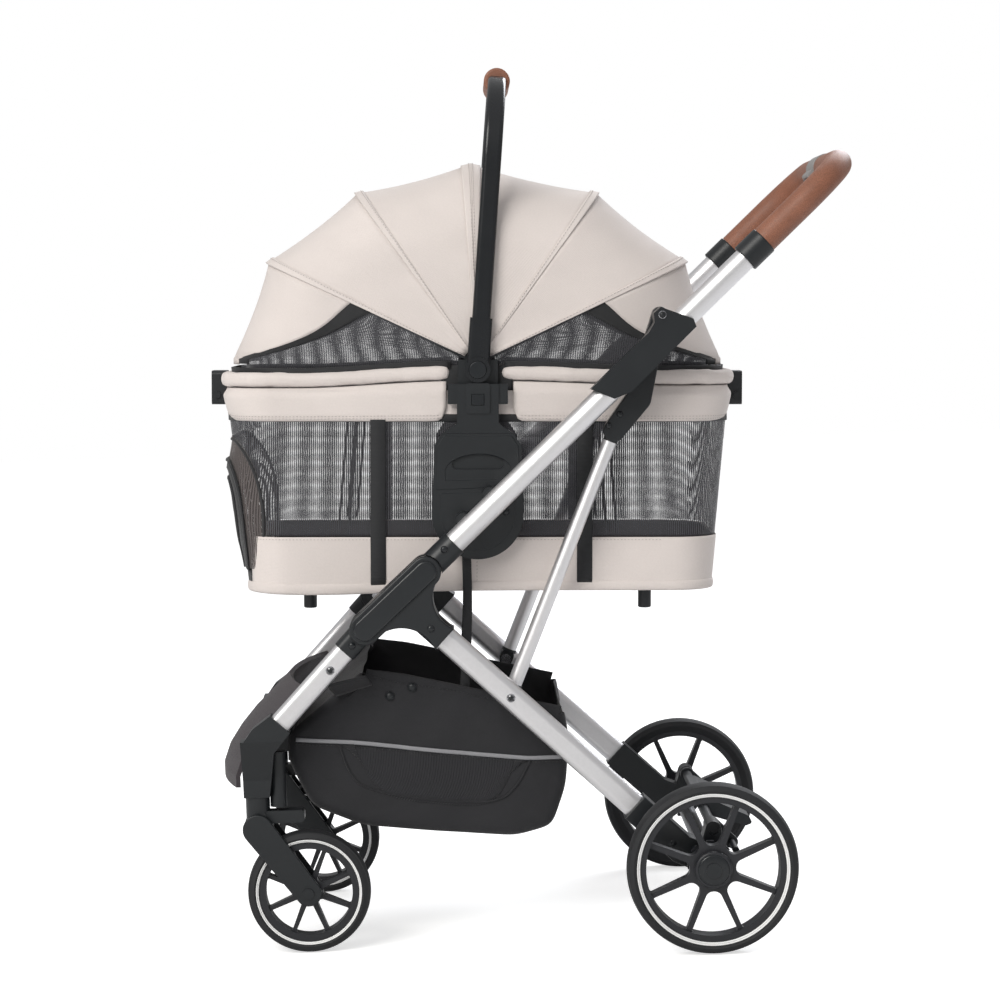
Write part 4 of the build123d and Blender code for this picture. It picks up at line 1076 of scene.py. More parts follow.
class BuildRim(bpy.types.Operator):
    """Stuff the padded rim roll and hang the skirt under it"""
    bl_idname = "stroller.build_rim"
    bl_label = "Rim roll and skirt"

    def execute(self, context):
        for half, side in HALVES:
            self.roll(side, half)
            self.skirt(side, half)
            self.zip_band(side, half)
        return {"FINISHED"}

    def roll(self, side, half):
        """Two padded rolls, puckered at their ends."""
        line = rim_line(side, ROLL_HIGH.x - 7 * MM, ROLL_HIGH.y - 11 * MM, 55 * MM,
                        (26 if side > 0 else 31) * MM, 6 * MM)
        path = [on_carrier(point.x, point.y, roll_level(point.x)) for point, _ in line]
        outs = [facing_on_carrier(*out) for _, out in line]
        total = steps(path)[-1]

        def section(share):
            half_w, half_h, round_end = 9.4 * MM, 8.8 * MM, 9 * MM
            to_end = min(share, 1 - share) * total
            taper = math.sqrt(max(0.02, 1 - (1 - min(1, to_end / round_end)) ** 2))
            pucker = 1 + 0.035 * ripple(Vector((share * 40, 0, side)), 1)
            return oval_section(half_w * taper * pucker, half_h * taper * pucker, 2.2, 18)

        roll = new_piece("rim_roll_" + half, tube_mesh(path, outs, section), "padded_polyester")
        swell(roll, 4.5 * MM, 2.4 * MM)
        for vertex in roll.data.vertices:
            place = vertex.co
            gathers = ripple(Vector((place.x * 5, place.y * 5, place.z * 1.4)), 13, 4.0)
            vertex.co = place + vertex.normal * gathers * 0.7 * MM
        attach(roll, "carrier")
        if side < 0:
            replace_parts(roll, "rim_roll")

    def skirt(self, side, half):
        """The loose cloth skirt: rounded ends, a hem and two rows of stitches."""
        sizes = settings().carrier
        start, corner = (38 if side < 0 else 43) * MM, 14 * MM
        line = rim_line(side, ROLL_HIGH.x - 1 * MM, ARCH_LEG_INNER - 1.2 * MM, 62 * MM, start,
                        5 * MM)
        runs = steps([point.to_3d() for point, _ in line])
        drops = []
        for (point, _), run in zip(line, runs):
            to_end = min(run, runs[-1] - run)
            rounded = corner - math.sqrt(max(0, corner ** 2 - max(0, corner - to_end) ** 2))
            lifted = 1 - smoothstep((abs(point.y) - 30 * MM) / (105 * MM))
            across = abs(point.x) > 200 * MM  # the skirt climbs a little in the middle of this wall
            drops.append(sizes.skirt_drop - rounded - lifted * 8 * MM * across)
        rows, depth_count = [], 14
        for share in even(0, 1, depth_count):
            row = []
            for (point, out), drop in zip(line, drops):
                top = roll_level(point.x) - 10 * MM
                z = top + (-drop - top) * share
                stand = 6 * MM * (smoothstep(share * 3.5) - 1)  # it starts under the roll
                flutter = ripple(Vector((point.x, point.y, z * 0.25)), 17, 7.0) * 1.6 * MM * share
                tucked = -1.4 * MM * smoothstep((share - 0.8) / 0.2)
                beside_handle = abs(point.x) < 60 * MM
                leaning = -8 * MM * abs(out.x) * share ** 1.6
                place = point + out * (stand + (0 if beside_handle else flutter) + tucked + leaning)
                row.append(on_carrier(place.x, place.y, z))
            rows.append(row)
        inside = on_carrier(side * 150 * MM, 0, -40 * MM)
        skirt = cloth_piece("skirt_" + half, rows, "woven_polyester", sizes.cloth, inside)
        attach(skirt, "carrier")
        outs = [facing_on_carrier(*out) * 0.25 * MM for _, out in line]
        seams = [[place + out for place, out in zip(row, outs)][2:-2]
                 for row in (rows[-2], rows[-3])]
        stitched("skirt_stitches_" + half, seams, "carrier")

    def zip_band(self, side, half):
        """Black zip tape between the canopy's edge and the roll."""
        line = rim_line(side, ROLL_HIGH.x - 11 * MM, CANOPY_HALF_W - 8 * MM, 80 * MM, 32 * MM,
                        8 * MM)
        rows = [[on_carrier(*(point + out * stand), roll_level(point.x) + rise)
                 for point, out in line]
                for rise, stand in ((0, 0), (11 * MM, 0.8 * MM), (14 * MM, 1.2 * MM))]
        tape = cloth_piece("rim_zip_" + half, rows, "grosgrain_binding", 1.2 * MM,
                           on_carrier(side * 150 * MM, 0, 0))
        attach(tape, "carrier")


# ------------------------------------------------------------ tub
def tub_size(z, end=-1):
    """Half length, half width and corner of the tub at a height, at its front or rear end."""
    share = (z - TUB_LOW.z) / (TUB_HIGH.z - TUB_LOW.z)
    base_len, base_w = TUB_FOOT
    base_len -= 8 * MM * (end < 0)  # the front wall leans in further than the rear one
    return (base_len + (TUB_HIGH.x - base_len) * share, base_w + (TUB_HIGH.y - base_w) * share,
            (52 + 14 * share) * MM)


def ring_plan(z, out):
    """The tub's plan at a height, from the middle of its front, past the left side."""
    half_len, half_w, corner = tub_size(z)
    rear_len = tub_size(z, 1)[0]
    flat_l, flat_w, flat_r = half_len - corner, half_w - corner, rear_len - corner
    reach = corner + out
    on_bend, on_side, on_rear, half_front = 24, 80, 28, 14  # points on each stretch
    front, turning = Vector((-half_len - out, 0)), Vector((-half_len - out, -flat_w))
    ring = [front.lerp(turning, index / half_front) for index in range(half_front)]
    for centre, first, end, count in (
            ((-flat_l, -flat_w), 180, (flat_r, -half_w - out), on_side),
            ((flat_r, -flat_w), 270, (rear_len + out, flat_w), on_rear),
            ((flat_r, flat_w), 0, (-flat_l, half_w + out), on_side),
            ((-flat_l, flat_w), 90, (-half_len - out, 0), half_front)):
        turns = [math.radians(first + 90 * index / on_bend) for index in range(on_bend + 1)]
        bend = [Vector(centre) + Vector((math.cos(turn), math.sin(turn))) * reach for turn in turns]
        ring.extend(bend[:-1])
        ring.extend(bend[-1].lerp(Vector(end), index / count) for index in range(count))
    return ring + [ring[0]]


def tub_ring(z, out):
    """Points round the tub at a height."""
    return [on_carrier(*point, z) for point in ring_plan(z, out)]


def cut_ring(z, edge, out, behind, count):
    """Even points round the tub from one side to the other, behind x = edge or before it."""
    ring = ring_plan(z, out)
    edge = max(edge, ring[0].x + 0.05 * MM)
    last = next(index for index in range(len(ring) - 1) if ring[index + 1].x > edge)
    before, after = ring[last], ring[last + 1]
    cut = before.lerp(after, (edge - before.x) / (after.x - before.x))
    if behind:
        path = [cut] + [point for point in ring if point.x > edge] + [Vector((cut.x, -cut.y))]
    else:
        path = [cut] + ring[last:0:-1] + [ring[0]]
        path += [Vector((point.x, -point.y)) for point in path[-2::-1]]
    return [on_carrier(*along(path, share), z) for share in even(0, 1, count)]


def tub_chart(point, centre):
    """Cloth map of the tub's wall: upright, so that the net's wales stand straight."""
    spot, middle = LEVEL @ point, LEVEL @ centre
    on_side = abs(middle.y) > abs(middle.x) - 150 * MM
    return (spot.x if on_side else spot.y, spot.z)


DOOR_EDGE, DOOR_FOOT = DOOR_HIGH.x - 11 * MM, DOOR_LOW.z + 0.6 * MM
ARCH_LONG, ARCH_TALL = 66 * MM, 112 * MM  # half axes of the arch's rounded upper end


def door_line(z, grow):
    """The x at which the door's arch stands at a height; nothing lies in the door above its top."""
    centre = DOOR_HIGH.z - ARCH_TALL
    if z <= centre:
        return DOOR_EDGE + grow
    if z >= DOOR_HIGH.z + grow:
        return -1.0
    rise = (z - centre) / (ARCH_TALL + grow)
    return DOOR_EDGE - ARCH_LONG + (ARCH_LONG + grow) * math.sqrt(max(0.0, 1 - rise ** 2))


def tub_spot(x, z, side, out):
    """The tub's wall at a length and height on one side, and the way that it faces."""
    half_len, half_w, corner = tub_size(z, x)
    flat_l, flat_w = half_len - corner, half_w - corner
    if abs(x) <= flat_l:
        facing, place = (0, side), (x, side * half_w)
    else:
        run = min(corner, abs(x) - flat_l)
        rise = math.sqrt(corner ** 2 - run ** 2)
        facing = (math.copysign(run / corner, x), side * rise / corner)
        place = (math.copysign(flat_l + run, x), side * (flat_w + rise))
    facing = facing_on_carrier(*facing)
    return on_carrier(*place, z) + facing * out, facing


def arch_peak(grow):
    """Height at which the arch reaches the tub's front wall and runs level across it."""
    return halved(DOOR_HIGH.z - ARCH_TALL, DOOR_HIGH.z + grow,
                  lambda z: door_line(z, grow) > -tub_size(z)[0])[0]


def arch_over_door(grow, out, foot=DOOR_FOOT):
    """The door's arch as points on the wall and their facings, from the left foot to the right."""
    centre = (DOOR_EDGE - ARCH_LONG, DOOR_HIGH.z - ARCH_TALL)
    side_view = [(DOOR_EDGE + grow, z) for z in even(foot, centre[1], 16)[:-1]]
    for turn in even(0, math.pi / 2, 30):
        x = centre[0] + (ARCH_LONG + grow) * math.cos(turn)
        z = centre[1] + (ARCH_TALL + grow) * math.sin(turn)
        if x > -tub_size(z)[0] + 1 * MM:
            side_view.append((x, z))
    near = [tub_spot(x, z, -1, out) for x, z in side_view]
    far = [tub_spot(x, z, 1, out) for x, z in reversed(side_view)]
    across = []
    first, last = near[-1][0], far[0][0]
    for index in range(1, 24):
        spot = first.lerp(last, index / 24)
        front = LEVEL @ spot
        half_len, half_w, corner = tub_size(front.z)
        over = max(0.0, abs(front.y) - (half_w - corner))
        front.x = -(half_len - corner) - math.sqrt(max(0.0, corner ** 2 - over ** 2)) - out
        sideways = math.copysign(over / corner, front.y)
        facing = facing_on_carrier(-math.sqrt(max(0.0, 1 - sideways ** 2)), sideways)
        across.append((CARRIER @ front, facing))
    return near + across + far


def ring_piece(name, levels, finish, thickness, out, edge, behind=True):
    """Cloth round the tub between two heights, behind x = edge(z) or before it."""
    count = 220 if behind else 110
    rows = [cut_ring(z, edge(z), out, behind, count) if edge else tub_ring(z, out) for z in levels]
    return cloth_piece(name, rows, finish, thickness, on_carrier(0, 0, sum(levels) / len(levels)),
                       tub_chart)


def droop(piece):
    """Lets the bottom of the tub hang a little lower where the door's end pulls on it."""
    deepest, place, reach = 5.5 * MM, -200 * MM, 120 * MM

    def moved(spot):
        share = smoothstep((-232 * MM - spot.z) / (32 * MM))
        spot.z -= deepest * share * math.exp(-((spot.x - place) / reach) ** 2)
        return spot
    return reshaped(piece, moved)


class BuildTub(bpy.types.Operator):
    """Sew the tub: cloth bands, see-through net, straps, piping and floor"""
    bl_idname = "stroller.build_tub"
    bl_label = "Tub"

    def execute(self, context):
        sizes = settings().carrier
        hem, floor = -sizes.net_low, TUB_LOW.z
        peak = arch_peak(0)

        def beside_door(z):
            return door_line(z, 0.5 * MM)

        for name, finish, thickness, levels, out, edge in (
                ("top_band", "woven_polyester", sizes.cloth,
                 even(-25 * MM, -60 * MM, 4), -1.2, None),
                ("net", "knitted_net", 0.5 * MM, even(peak, hem + 1 * MM, 30), -1.0, beside_door),
                ("net_top", "knitted_net", 0.5 * MM, even(-57 * MM, peak, 6), -1.0, None),
                ("lower_cloth", "woven_polyester", sizes.cloth,
                 even(hem, floor + 5 * MM, 16), 0.8, lambda z: DOOR_EDGE - 17 * MM),
                ("lining", "brushed_lining", 0.9 * MM,
                 even(hem - 1 * MM, DOOR_LOW.z, 10), -2.6, beside_door),
                ("lining_low", "brushed_lining", 0.9 * MM,
                 even(DOOR_LOW.z, floor + 4 * MM, 5), -2.6, None)):
            piece = ring_piece("tub_" + name, levels, finish, thickness, out * MM, edge)
            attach(droop(piece) if name == "lower_cloth" else piece, "carrier")
            if name == "net":
                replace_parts(piece, "carrier_body")
        self.base(floor)
        self.trim(hem, floor)
        self.straps(floor)
        self.break_covers()
        return {"FINISHED"}

    def break_covers(self):
        """Black cloth behind the carry handle's bosses, where the rim roll is broken."""
        covers = []
        for _, side in SIDES:
            rows = [[on_carrier(x, side * (143 - bulge) * MM, z * MM)
                     for x in even(-44 * MM, 42 * MM, 20)]
                    for z, bulge in ((5, 2), (-6, 0), (-18, 0), (-30, 1))]
            covers.append(cloth_mesh(rows, on_carrier(0, 0, -12 * MM)))
        cover = new_piece("rim_break_covers", joined(covers), "grosgrain_binding")
        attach(walled(cover, 1.2 * MM), "carrier")

    def base(self, floor):
        """The floor's cloth cover and the black sill under the door."""
        rows = [tub_ring(floor + 5 * MM, 0.4 * MM), tub_ring(floor + 1 * MM, -2 * MM)]
        rows += [tub_ring(floor, -inset * MM) for inset in (6, 14, 26, 40, 50)]
        last = rows[-1]
        centre = sum(last[:-1], Vector()) / (len(last) - 1)
        rows += [[centre + (point - centre) * shrink for point in last]
                 for shrink in (0.66, 0.33, 0.0)]
        base = cloth_piece("tub_base", rows, "woven_polyester", 1.6 * MM, centre + LIFT * 0.1)
        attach(droop(base), "carrier")
        sill = ring_piece("door_sill", even(DOOR_LOW.z - 0.5 * MM, floor + 4 * MM, 4),
                          "grosgrain_binding", 1.4 * MM, 0.9 * MM, lambda z: DOOR_EDGE - 17.5 * MM,
                          False)
        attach(droop(sill), "carrier")

    def trim(self, hem, floor):
        """The puffed hem at the bottom, the tape on the net's edge, seams and their stitches."""
        level = floor + 5.5 * MM
        ring = tub_ring(level, 0.2 * MM)[:-1]
        middle = sum(ring, Vector()) / len(ring)
        outs = [(point - middle).normalized() for point in ring]
        hem_roll = new_piece("tub_bottom_hem",
                             tube_mesh(ring, outs, oval_section(6.2 * MM, 2.6 * MM, 2.2, 12), True),
                             "padded_polyester")
        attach(droop(hem_roll), "carrier")
        lines = []
        for _, side in SIDES:
            stretch = even(DOOR_EDGE - 14 * MM, tub_size(hem)[0] - 66 * MM, 70)
            lines.append([tub_spot(x, hem - 3.0 * MM, side, 1.0 * MM)[0] for x in stretch])
            for x in (-8 * MM, -1 * MM):
                heights = even(hem, floor + 12 * MM, 10)
                lines.append([tub_spot(x, z, side, 1.0 * MM)[0] for z in heights])
        stitched("tub_stitches", lines, "carrier")
        edge = tub_ring(-58 * MM, -0.6 * MM)
        outs = [Vector((point.x - middle.x, point.y, 0)).normalized() for point in edge]
        tape = tube_mesh(edge[:-1], outs[:-1], flat_section(9 * MM, 1.0 * MM), True)
        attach(new_piece("net_top_tape", tape, "grosgrain_binding"), "carrier")

    def straps(self, floor):
        """Webbing straps on the outside and thin leaning piping on the inside of the net."""
        sizes = settings().carrier
        straps, cords = [], []
        for _, side in SIDES:
            for end in (-1, 1):
                x = end * sizes.strap_x + (0 if end < 0 else 9 * MM)
                spots = [tub_spot(x, z, side, 0.9 * MM) for z in even(-60 * MM, floor + 9 * MM, 24)]
                straps.append(along_wall(spots, flat_section(sizes.strap_w, 1.3 * MM)))
                for top in (144, 156):
                    lean = [tub_spot(end * (top + 12 * share) * MM, (-56 - 142 * share) * MM, side,
                                     -3.0 * MM) for share in even(0, 1, 16)]
                    cords.append(along_wall(lean, round_section(1.5 * MM, 8)))
        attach(droop(new_piece("side_straps", joined(straps), "nylon_webbing")), "carrier")
        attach(new_piece("side_piping", joined(cords), "grosgrain_binding"), "carrier")


# ------------------------------------------------------------ front door
def puffed(piece):
    """Lets the door's panel stand out in front of the tub, most at its top."""
    most, rim = 9 * MM, 20 * MM  # how far it stands out, and how wide the slope at its edge is

    def moved(spot):
        across = max(0.0, spot.x - (DOOR_EDGE - ARCH_LONG)) / ARCH_LONG
        up = max(0.0, spot.z - (DOOR_HIGH.z - ARCH_TALL)) / ARCH_TALL
        inwards = (1 - math.hypot(across, up)) * ARCH_LONG
        climb = smoothstep((spot.z - DOOR_LOW.z + 10 * MM) / (90 * MM))
        spot.x -= most * smoothstep(inwards / rim) * (0.25 + 0.75 * climb)
        return spot
    return reshaped(piece, moved)


class BuildDoor(bpy.types.Operator):
    """Sew the zipped front door: net panel, dark gusset, zip and bindings"""
    bl_idname = "stroller.build_door"
    bl_label = "Front door"

    def execute(self, context):
        sizes = settings().carrier
        gusset_w = 16 * MM
        grow = -gusset_w - 6 * MM
        net_panel = ring_piece("door_net", even(DOOR_FOOT, arch_peak(grow), 40), "window_net",
                               0.5 * MM, 0.4 * MM, lambda z: door_line(z, grow), False)
        strips = [[spot for spot, _ in arch_over_door(share * (grow + 2 * MM), -0.4 * MM)]
                  for share in even(0, 1, 5)]
        strips = [[along(strip, share) for share in even(0, 1, 140)] for strip in strips]
        gusset = cloth_piece("door_gusset", strips, "gusset_net", 0.6 * MM,
                             on_carrier(0, 0, -160 * MM), tub_chart)
        for piece in (net_panel, gusset):
            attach(puffed(piece), "door")
        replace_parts(net_panel, "front_door")
        middle = -gusset_w - sizes.binding_w / 2
        for name, arch, section, finish in (
                ("zip_tape", arch_over_door(middle, 0.2 * MM),
                 flat_section(sizes.binding_w, 1.2 * MM), "grosgrain_binding"),
                ("zip_coil", arch_over_door(middle + 3 * MM, 1.5 * MM),
                 oval_section(2.2 * MM, 1.4 * MM, 2.0, 8), "zip_coil"),
                ("binding", arch_over_door(middle - 6 * MM, 1.0 * MM),
                 oval_section(3.2 * MM, 1.8 * MM, 2.2, 10), "grosgrain_binding"),
                ("edge_piping", arch_over_door(-1.5 * MM, -0.2 * MM, -sizes.net_low),
                 oval_section(1.8 * MM, 1.2 * MM, 2.0, 8), "grosgrain_binding")):
            tape = new_piece("door_" + name, along_wall(arch, section), finish)
            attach(puffed(tape), "door")
        return {"FINISHED"}


# ------------------------------------------------------------ floor pad
class BuildPad(bpy.types.Operator):
    """Stuff the floor pad and quilt it"""
    bl_idname = "stroller.build_pad"
    bl_label = "Floor pad"

    def execute(self, context):
        low, high = spread("floor_pad")
        half_len, half_w, corner = high.x - 5 * MM, high.y - 5 * MM, 40 * MM
        rows = []
        count = 96
        for z, inset in ((low.z + 1 * MM, 4), (low.z + 5 * MM, 0), (high.z - 6 * MM, 0),
                         (high.z - 2 * MM, 4)):
            ring = []
            for index in range(count):
                turn = 2 * math.pi * index / count
                cosine, sine = math.cos(turn), math.sin(turn)
                x = math.copysign(half_len - corner, cosine) + (corner - inset * MM) * cosine
                y = math.copysign(half_w - corner, sine) + (corner - inset * MM) * sine
                ring.append(on_carrier(x, y, z))
            rows.append(ring + [ring[0]])
        pad = new_piece("floor_pad_cushion", closed_shell(cloth_mesh(rows)), "brushed_pad_cloth")
        swell(pad, 5 * MM, settings().carrier.quilt)
        diamond = 90 * MM

        def quilted(place):
            place.z = max(place.z, low.z + 0.2 * MM)
            place.x = max(-high.x, min(high.x, place.x))
            place.y = max(-high.y, min(high.y, place.y))
            if place.z > (low.z + high.z) / 2:
                to_seam = min(abs((place.x + turned * place.y) % diamond - diamond / 2)
                              for turned in (1, -1))
                place.z -= 4.0 * MM * math.exp(-(to_seam / (4 * MM)) ** 2)
            return place

        reshaped(pad, quilted)
        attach(pad, "carrier")
        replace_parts(pad, "floor_pad")
        return {"FINISHED"}


# ------------------------------------------------------------ basket
def basket_outline():
    """The basket's side view: its lower line and its top line, both from front to rear."""
    flat = [vertex.co for vertex in NODES["basket"].data.vertices if abs(vertex.co.y) < 157 * MM]
    flat = [Vector((point.x, point.z)) for point in flat]
    loop = [flat[index] for index in geometry.convex_hull_2d(flat)]
    front = max(range(len(loop)), key=lambda index: loop[index].y)
    loop = loop[front:] + loop[:front]
    rear = max(range(len(loop)), key=lambda index: loop[index].x + loop[index].y)
    one, other = loop[:rear + 1], [loop[0]] + loop[:rear - 1:-1]
    return (one, other) if min(p.y for p in one) < min(p.y for p in other) else (other, one)


def softened(line, count, passes):
    """A line with evenly spaced points and its corners eased."""
    points = [along(line, share) for share in even(0, 1, count)]
    for _ in range(passes):
        middle = [(a + b * 2 + c) / 4 for a, b, c in zip(points, points[1:], points[2:])]
        points = [points[0]] + middle + [points[-1]]
    return points


def basket_fold(x, z, side):
    """How far a soft fold moves the basket's side in or out."""
    drag = ripple(Vector((x * 1.3 - z * 0.9, z * 0.6 + x * 0.2, side * 0.3)), 13, 3.0)
    crease = 1 - abs(ripple(Vector((x * 1.5 + z * 2.2, z * 0.6 - x * 0.3, side)), 15, 9.0)) * 3
    return settings().basket.fold * (0.7 * drag + 0.28 * max(0.0, crease) - 0.3)


class BuildBasket(bpy.types.Operator):
    """Sew the basket: soft body, piping, knitted pocket, tabs and snaps"""
    bl_idname = "stroller.build_basket"
    bl_label = "Basket"

    half_w = 158 * MM

    def execute(self, context):
        low, top = basket_outline()
        self.low, self.top = softened(low, 90, 2), softened(top, 90, 3)
        self.body()
        self.trim()
        self.tabs()
        return {"FINISHED"}

    def wall(self, x, z, side, out):
        """A place on the basket's side."""
        return Vector((x, side * (self.half_w + basket_fold(x, z, side) + out), z))

    def body(self):
        """The bag: rows of points down one side, across the floor and up the other."""
        sizes = settings().basket
        rows, count, wall_count, bend_count = [], len(self.low) - 1, 18, 6
        for index in range(1, count):
            share = index / count
            foot, head = self.low[index], along(self.top, share)
            way = (self.low[index + 1] - self.low[index - 1]).normalized()
            inward = Vector((-way.y, way.x))
            if inward.dot(head - foot) < 0:
                inward = -inward
            depth = (head - foot).length
            corner = min(sizes.corner, depth * 0.8)
            bottom = foot + inward * corner
            fade = smoothstep(depth / (40 * MM))
            near = []
            for step in range(wall_count + 1):
                spot = head.lerp(bottom, step / wall_count)
                near.append((spot, basket_fold(spot.x, spot.y, -1) * fade))
            low_fold = near[-1][1]
            for turn in even(0, math.pi / 2, bend_count)[1:]:
                near.append((bottom - inward * corner * math.sin(turn),
                             low_fold * math.cos(turn) - corner * (1 - math.cos(turn))))
            left, right = [[Vector((spot.x, side * (self.half_w + fold), spot.y))
                            for spot, fold in near] for _, side in SIDES]
            floor = []
            for across in even(0, 1, 30)[1:-1]:
                spot = left[-1].lerp(right[-1], across)
                swell_out = 3 * MM * ripple(Vector((share * 0.8, spot.y, 0)), 9, 5.0)
                floor.append(spot + Vector((inward.x, 0, inward.y)) * (swell_out + 2.5 * MM))
            rows.append(left + floor + right[::-1])
        bag = cloth_piece("basket_cloth", rows, "oxford_cloth", sizes.cloth,
                          Vector((AXLE_X - 140 * MM, 0, 240 * MM)))
        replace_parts(rounded_off(bag), "basket")
        self.fold_with_frame(bag)

    def fold_with_frame(self, piece):
        """Attaches a piece of the basket to the frame's body and gives it a mesh of its own."""
        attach(piece, "frame")
        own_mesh(piece)

    def line_on_wall(self, marks, side, out):
        """A line over the basket's side, eased between places behind or before the rear axle."""
        points = softened([Vector((AXLE_X + x * MM, z * MM)) for x, z in marks], 60, 4)
        return [self.wall(point.x, point.y, side, out) for point in points]

    def trim(self):
        """The reflective piping, the pocket's corded edge and the dark seams."""
        sizes = settings().basket
        piping, pocket_edges, seams = [], [], []
        for _, side in SIDES:
            out = Vector((0, side, 0))
            line = self.line_on_wall([(-490, 255), (-415, 249), (-345, 239), (-274, 230),
                                      (-210, 223), (-168, 223)], side, 0.9 * MM)
            piping.append(tube_mesh(line, [out] * len(line),
                                    oval_section(sizes.stripe_w / 2, 1.2 * MM, 2.4, 10)))
            edge = self.line_on_wall([(-437, 246), (-430, 220), (-417, 198), (-382, 185),
                                      (-311, 174), (-262, 171), (-240, 176), (-222, 195),
                                      (-208, 221)], side, 1.0 * MM)
            pocket_edges.append(tube_mesh(edge, [out] * len(edge), round_section(1.1 * MM, 8)))
            seams.append(self.line_on_wall([(-405, 333), (-387, 326), (-370, 321), (-292, 307),
                                            (-271, 300), (-215, 288)], side, 0.8 * MM))
            seams.append([point + Vector((0, side * 0.2 * MM, -5 * MM)) for point in line])
        self.fold_with_frame(new_piece("basket_piping", joined(piping), "bead_reflective_tape"))
        self.fold_with_frame(new_piece("basket_pocket_edge", joined(pocket_edges), "oxford_cloth"))
        self.fold_with_frame(stitched("basket_stitches", seams, None, "dark_thread"))
        self.pocket()

    def pocket(self):
        """The knitted pocket under the piping on both sides."""
        front, rear, front_rim, rear_rim, deep = -437, -210, 246, 221, 62
        panels = []
        for _, side in SIDES:
            rows = []
            for share in even(0, 1, 14):
                row = []
                for across in even(0, 1, 60):
                    x = front + (rear - front) * across
                    rim = front_rim + (rear_rim - front_rim) * across
                    depth = deep * (1 - abs(2 * across - 1) ** 5)
                    inset = (0.5 - across) * 34 * smoothstep(share)
                    row.append(self.wall(AXLE_X + (x + inset) * MM,
                                         (rim - depth * share) * MM, side, 0.7 * MM))
                rows.append(row)
            panels.append(cloth_mesh(rows, Vector((AXLE_X - 320 * MM, 0, 200 * MM))))
        piece = new_piece("basket_pocket", tidy(joined(panels)), "rib_knit")
        self.fold_with_frame(walled(piece, 0.9 * MM))

    def tabs(self):
        """Cloth tabs from the basket to the legs, and the snaps of its flap."""
        pieces = []
        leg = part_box("rear_legs")[1].y - 20.5 * MM
        for _, side in SIDES:
            for sewn, held in ((((-181, 262), (-163, 240)), ((-179, 256), (-160, 238))),
                               (((-396, 318), (-440, 306)), ((-402, 334), (-449, 324)))):
                rows = []
                for share in even(0, 1, 8):
                    first, last = [Vector((AXLE_X + (a[0] + (b[0] - a[0]) * share) * MM, side * leg,
                                           (a[1] + (b[1] - a[1]) * share) * MM))
                                   for a, b in (sewn, held)]
                    inner = self.wall(first.x, first.z, side, -1.0 * MM)
                    rows.append([inner.lerp(last, part) for part in even(0, 1, 6)])
                pieces.append(cloth_mesh(rows, Vector((rows[0][0].x, 0, 150 * MM))))
        piece = new_piece("basket_tabs", tidy(joined(pieces)), "oxford_cloth")
        self.fold_with_frame(walled(piece, 1.4 * MM, 0))
        snaps = [(self.wall(AXLE_X + x * MM, z * MM, side, 0.8 * MM), Vector((0, side, 0)))
                 for _, side in SIDES for x, z in ((-375, 304), (-348, 314))]
        self.fold_with_frame(riveted("basket_snaps", snaps, None, 5.5 * MM, "moulded_nylon"))


# ------------------------------------------------------------ frame trim
def reach_at(loop, centre, way):
    """How far it is from a centre to a closed line, one way."""
    hits = [geometry.intersect_line_line_2d(centre, centre + way, before, after)
            for before, after in zip(loop, loop[1:] + loop[:1])]
    return max((hit - centre).length for hit in hits if hit)


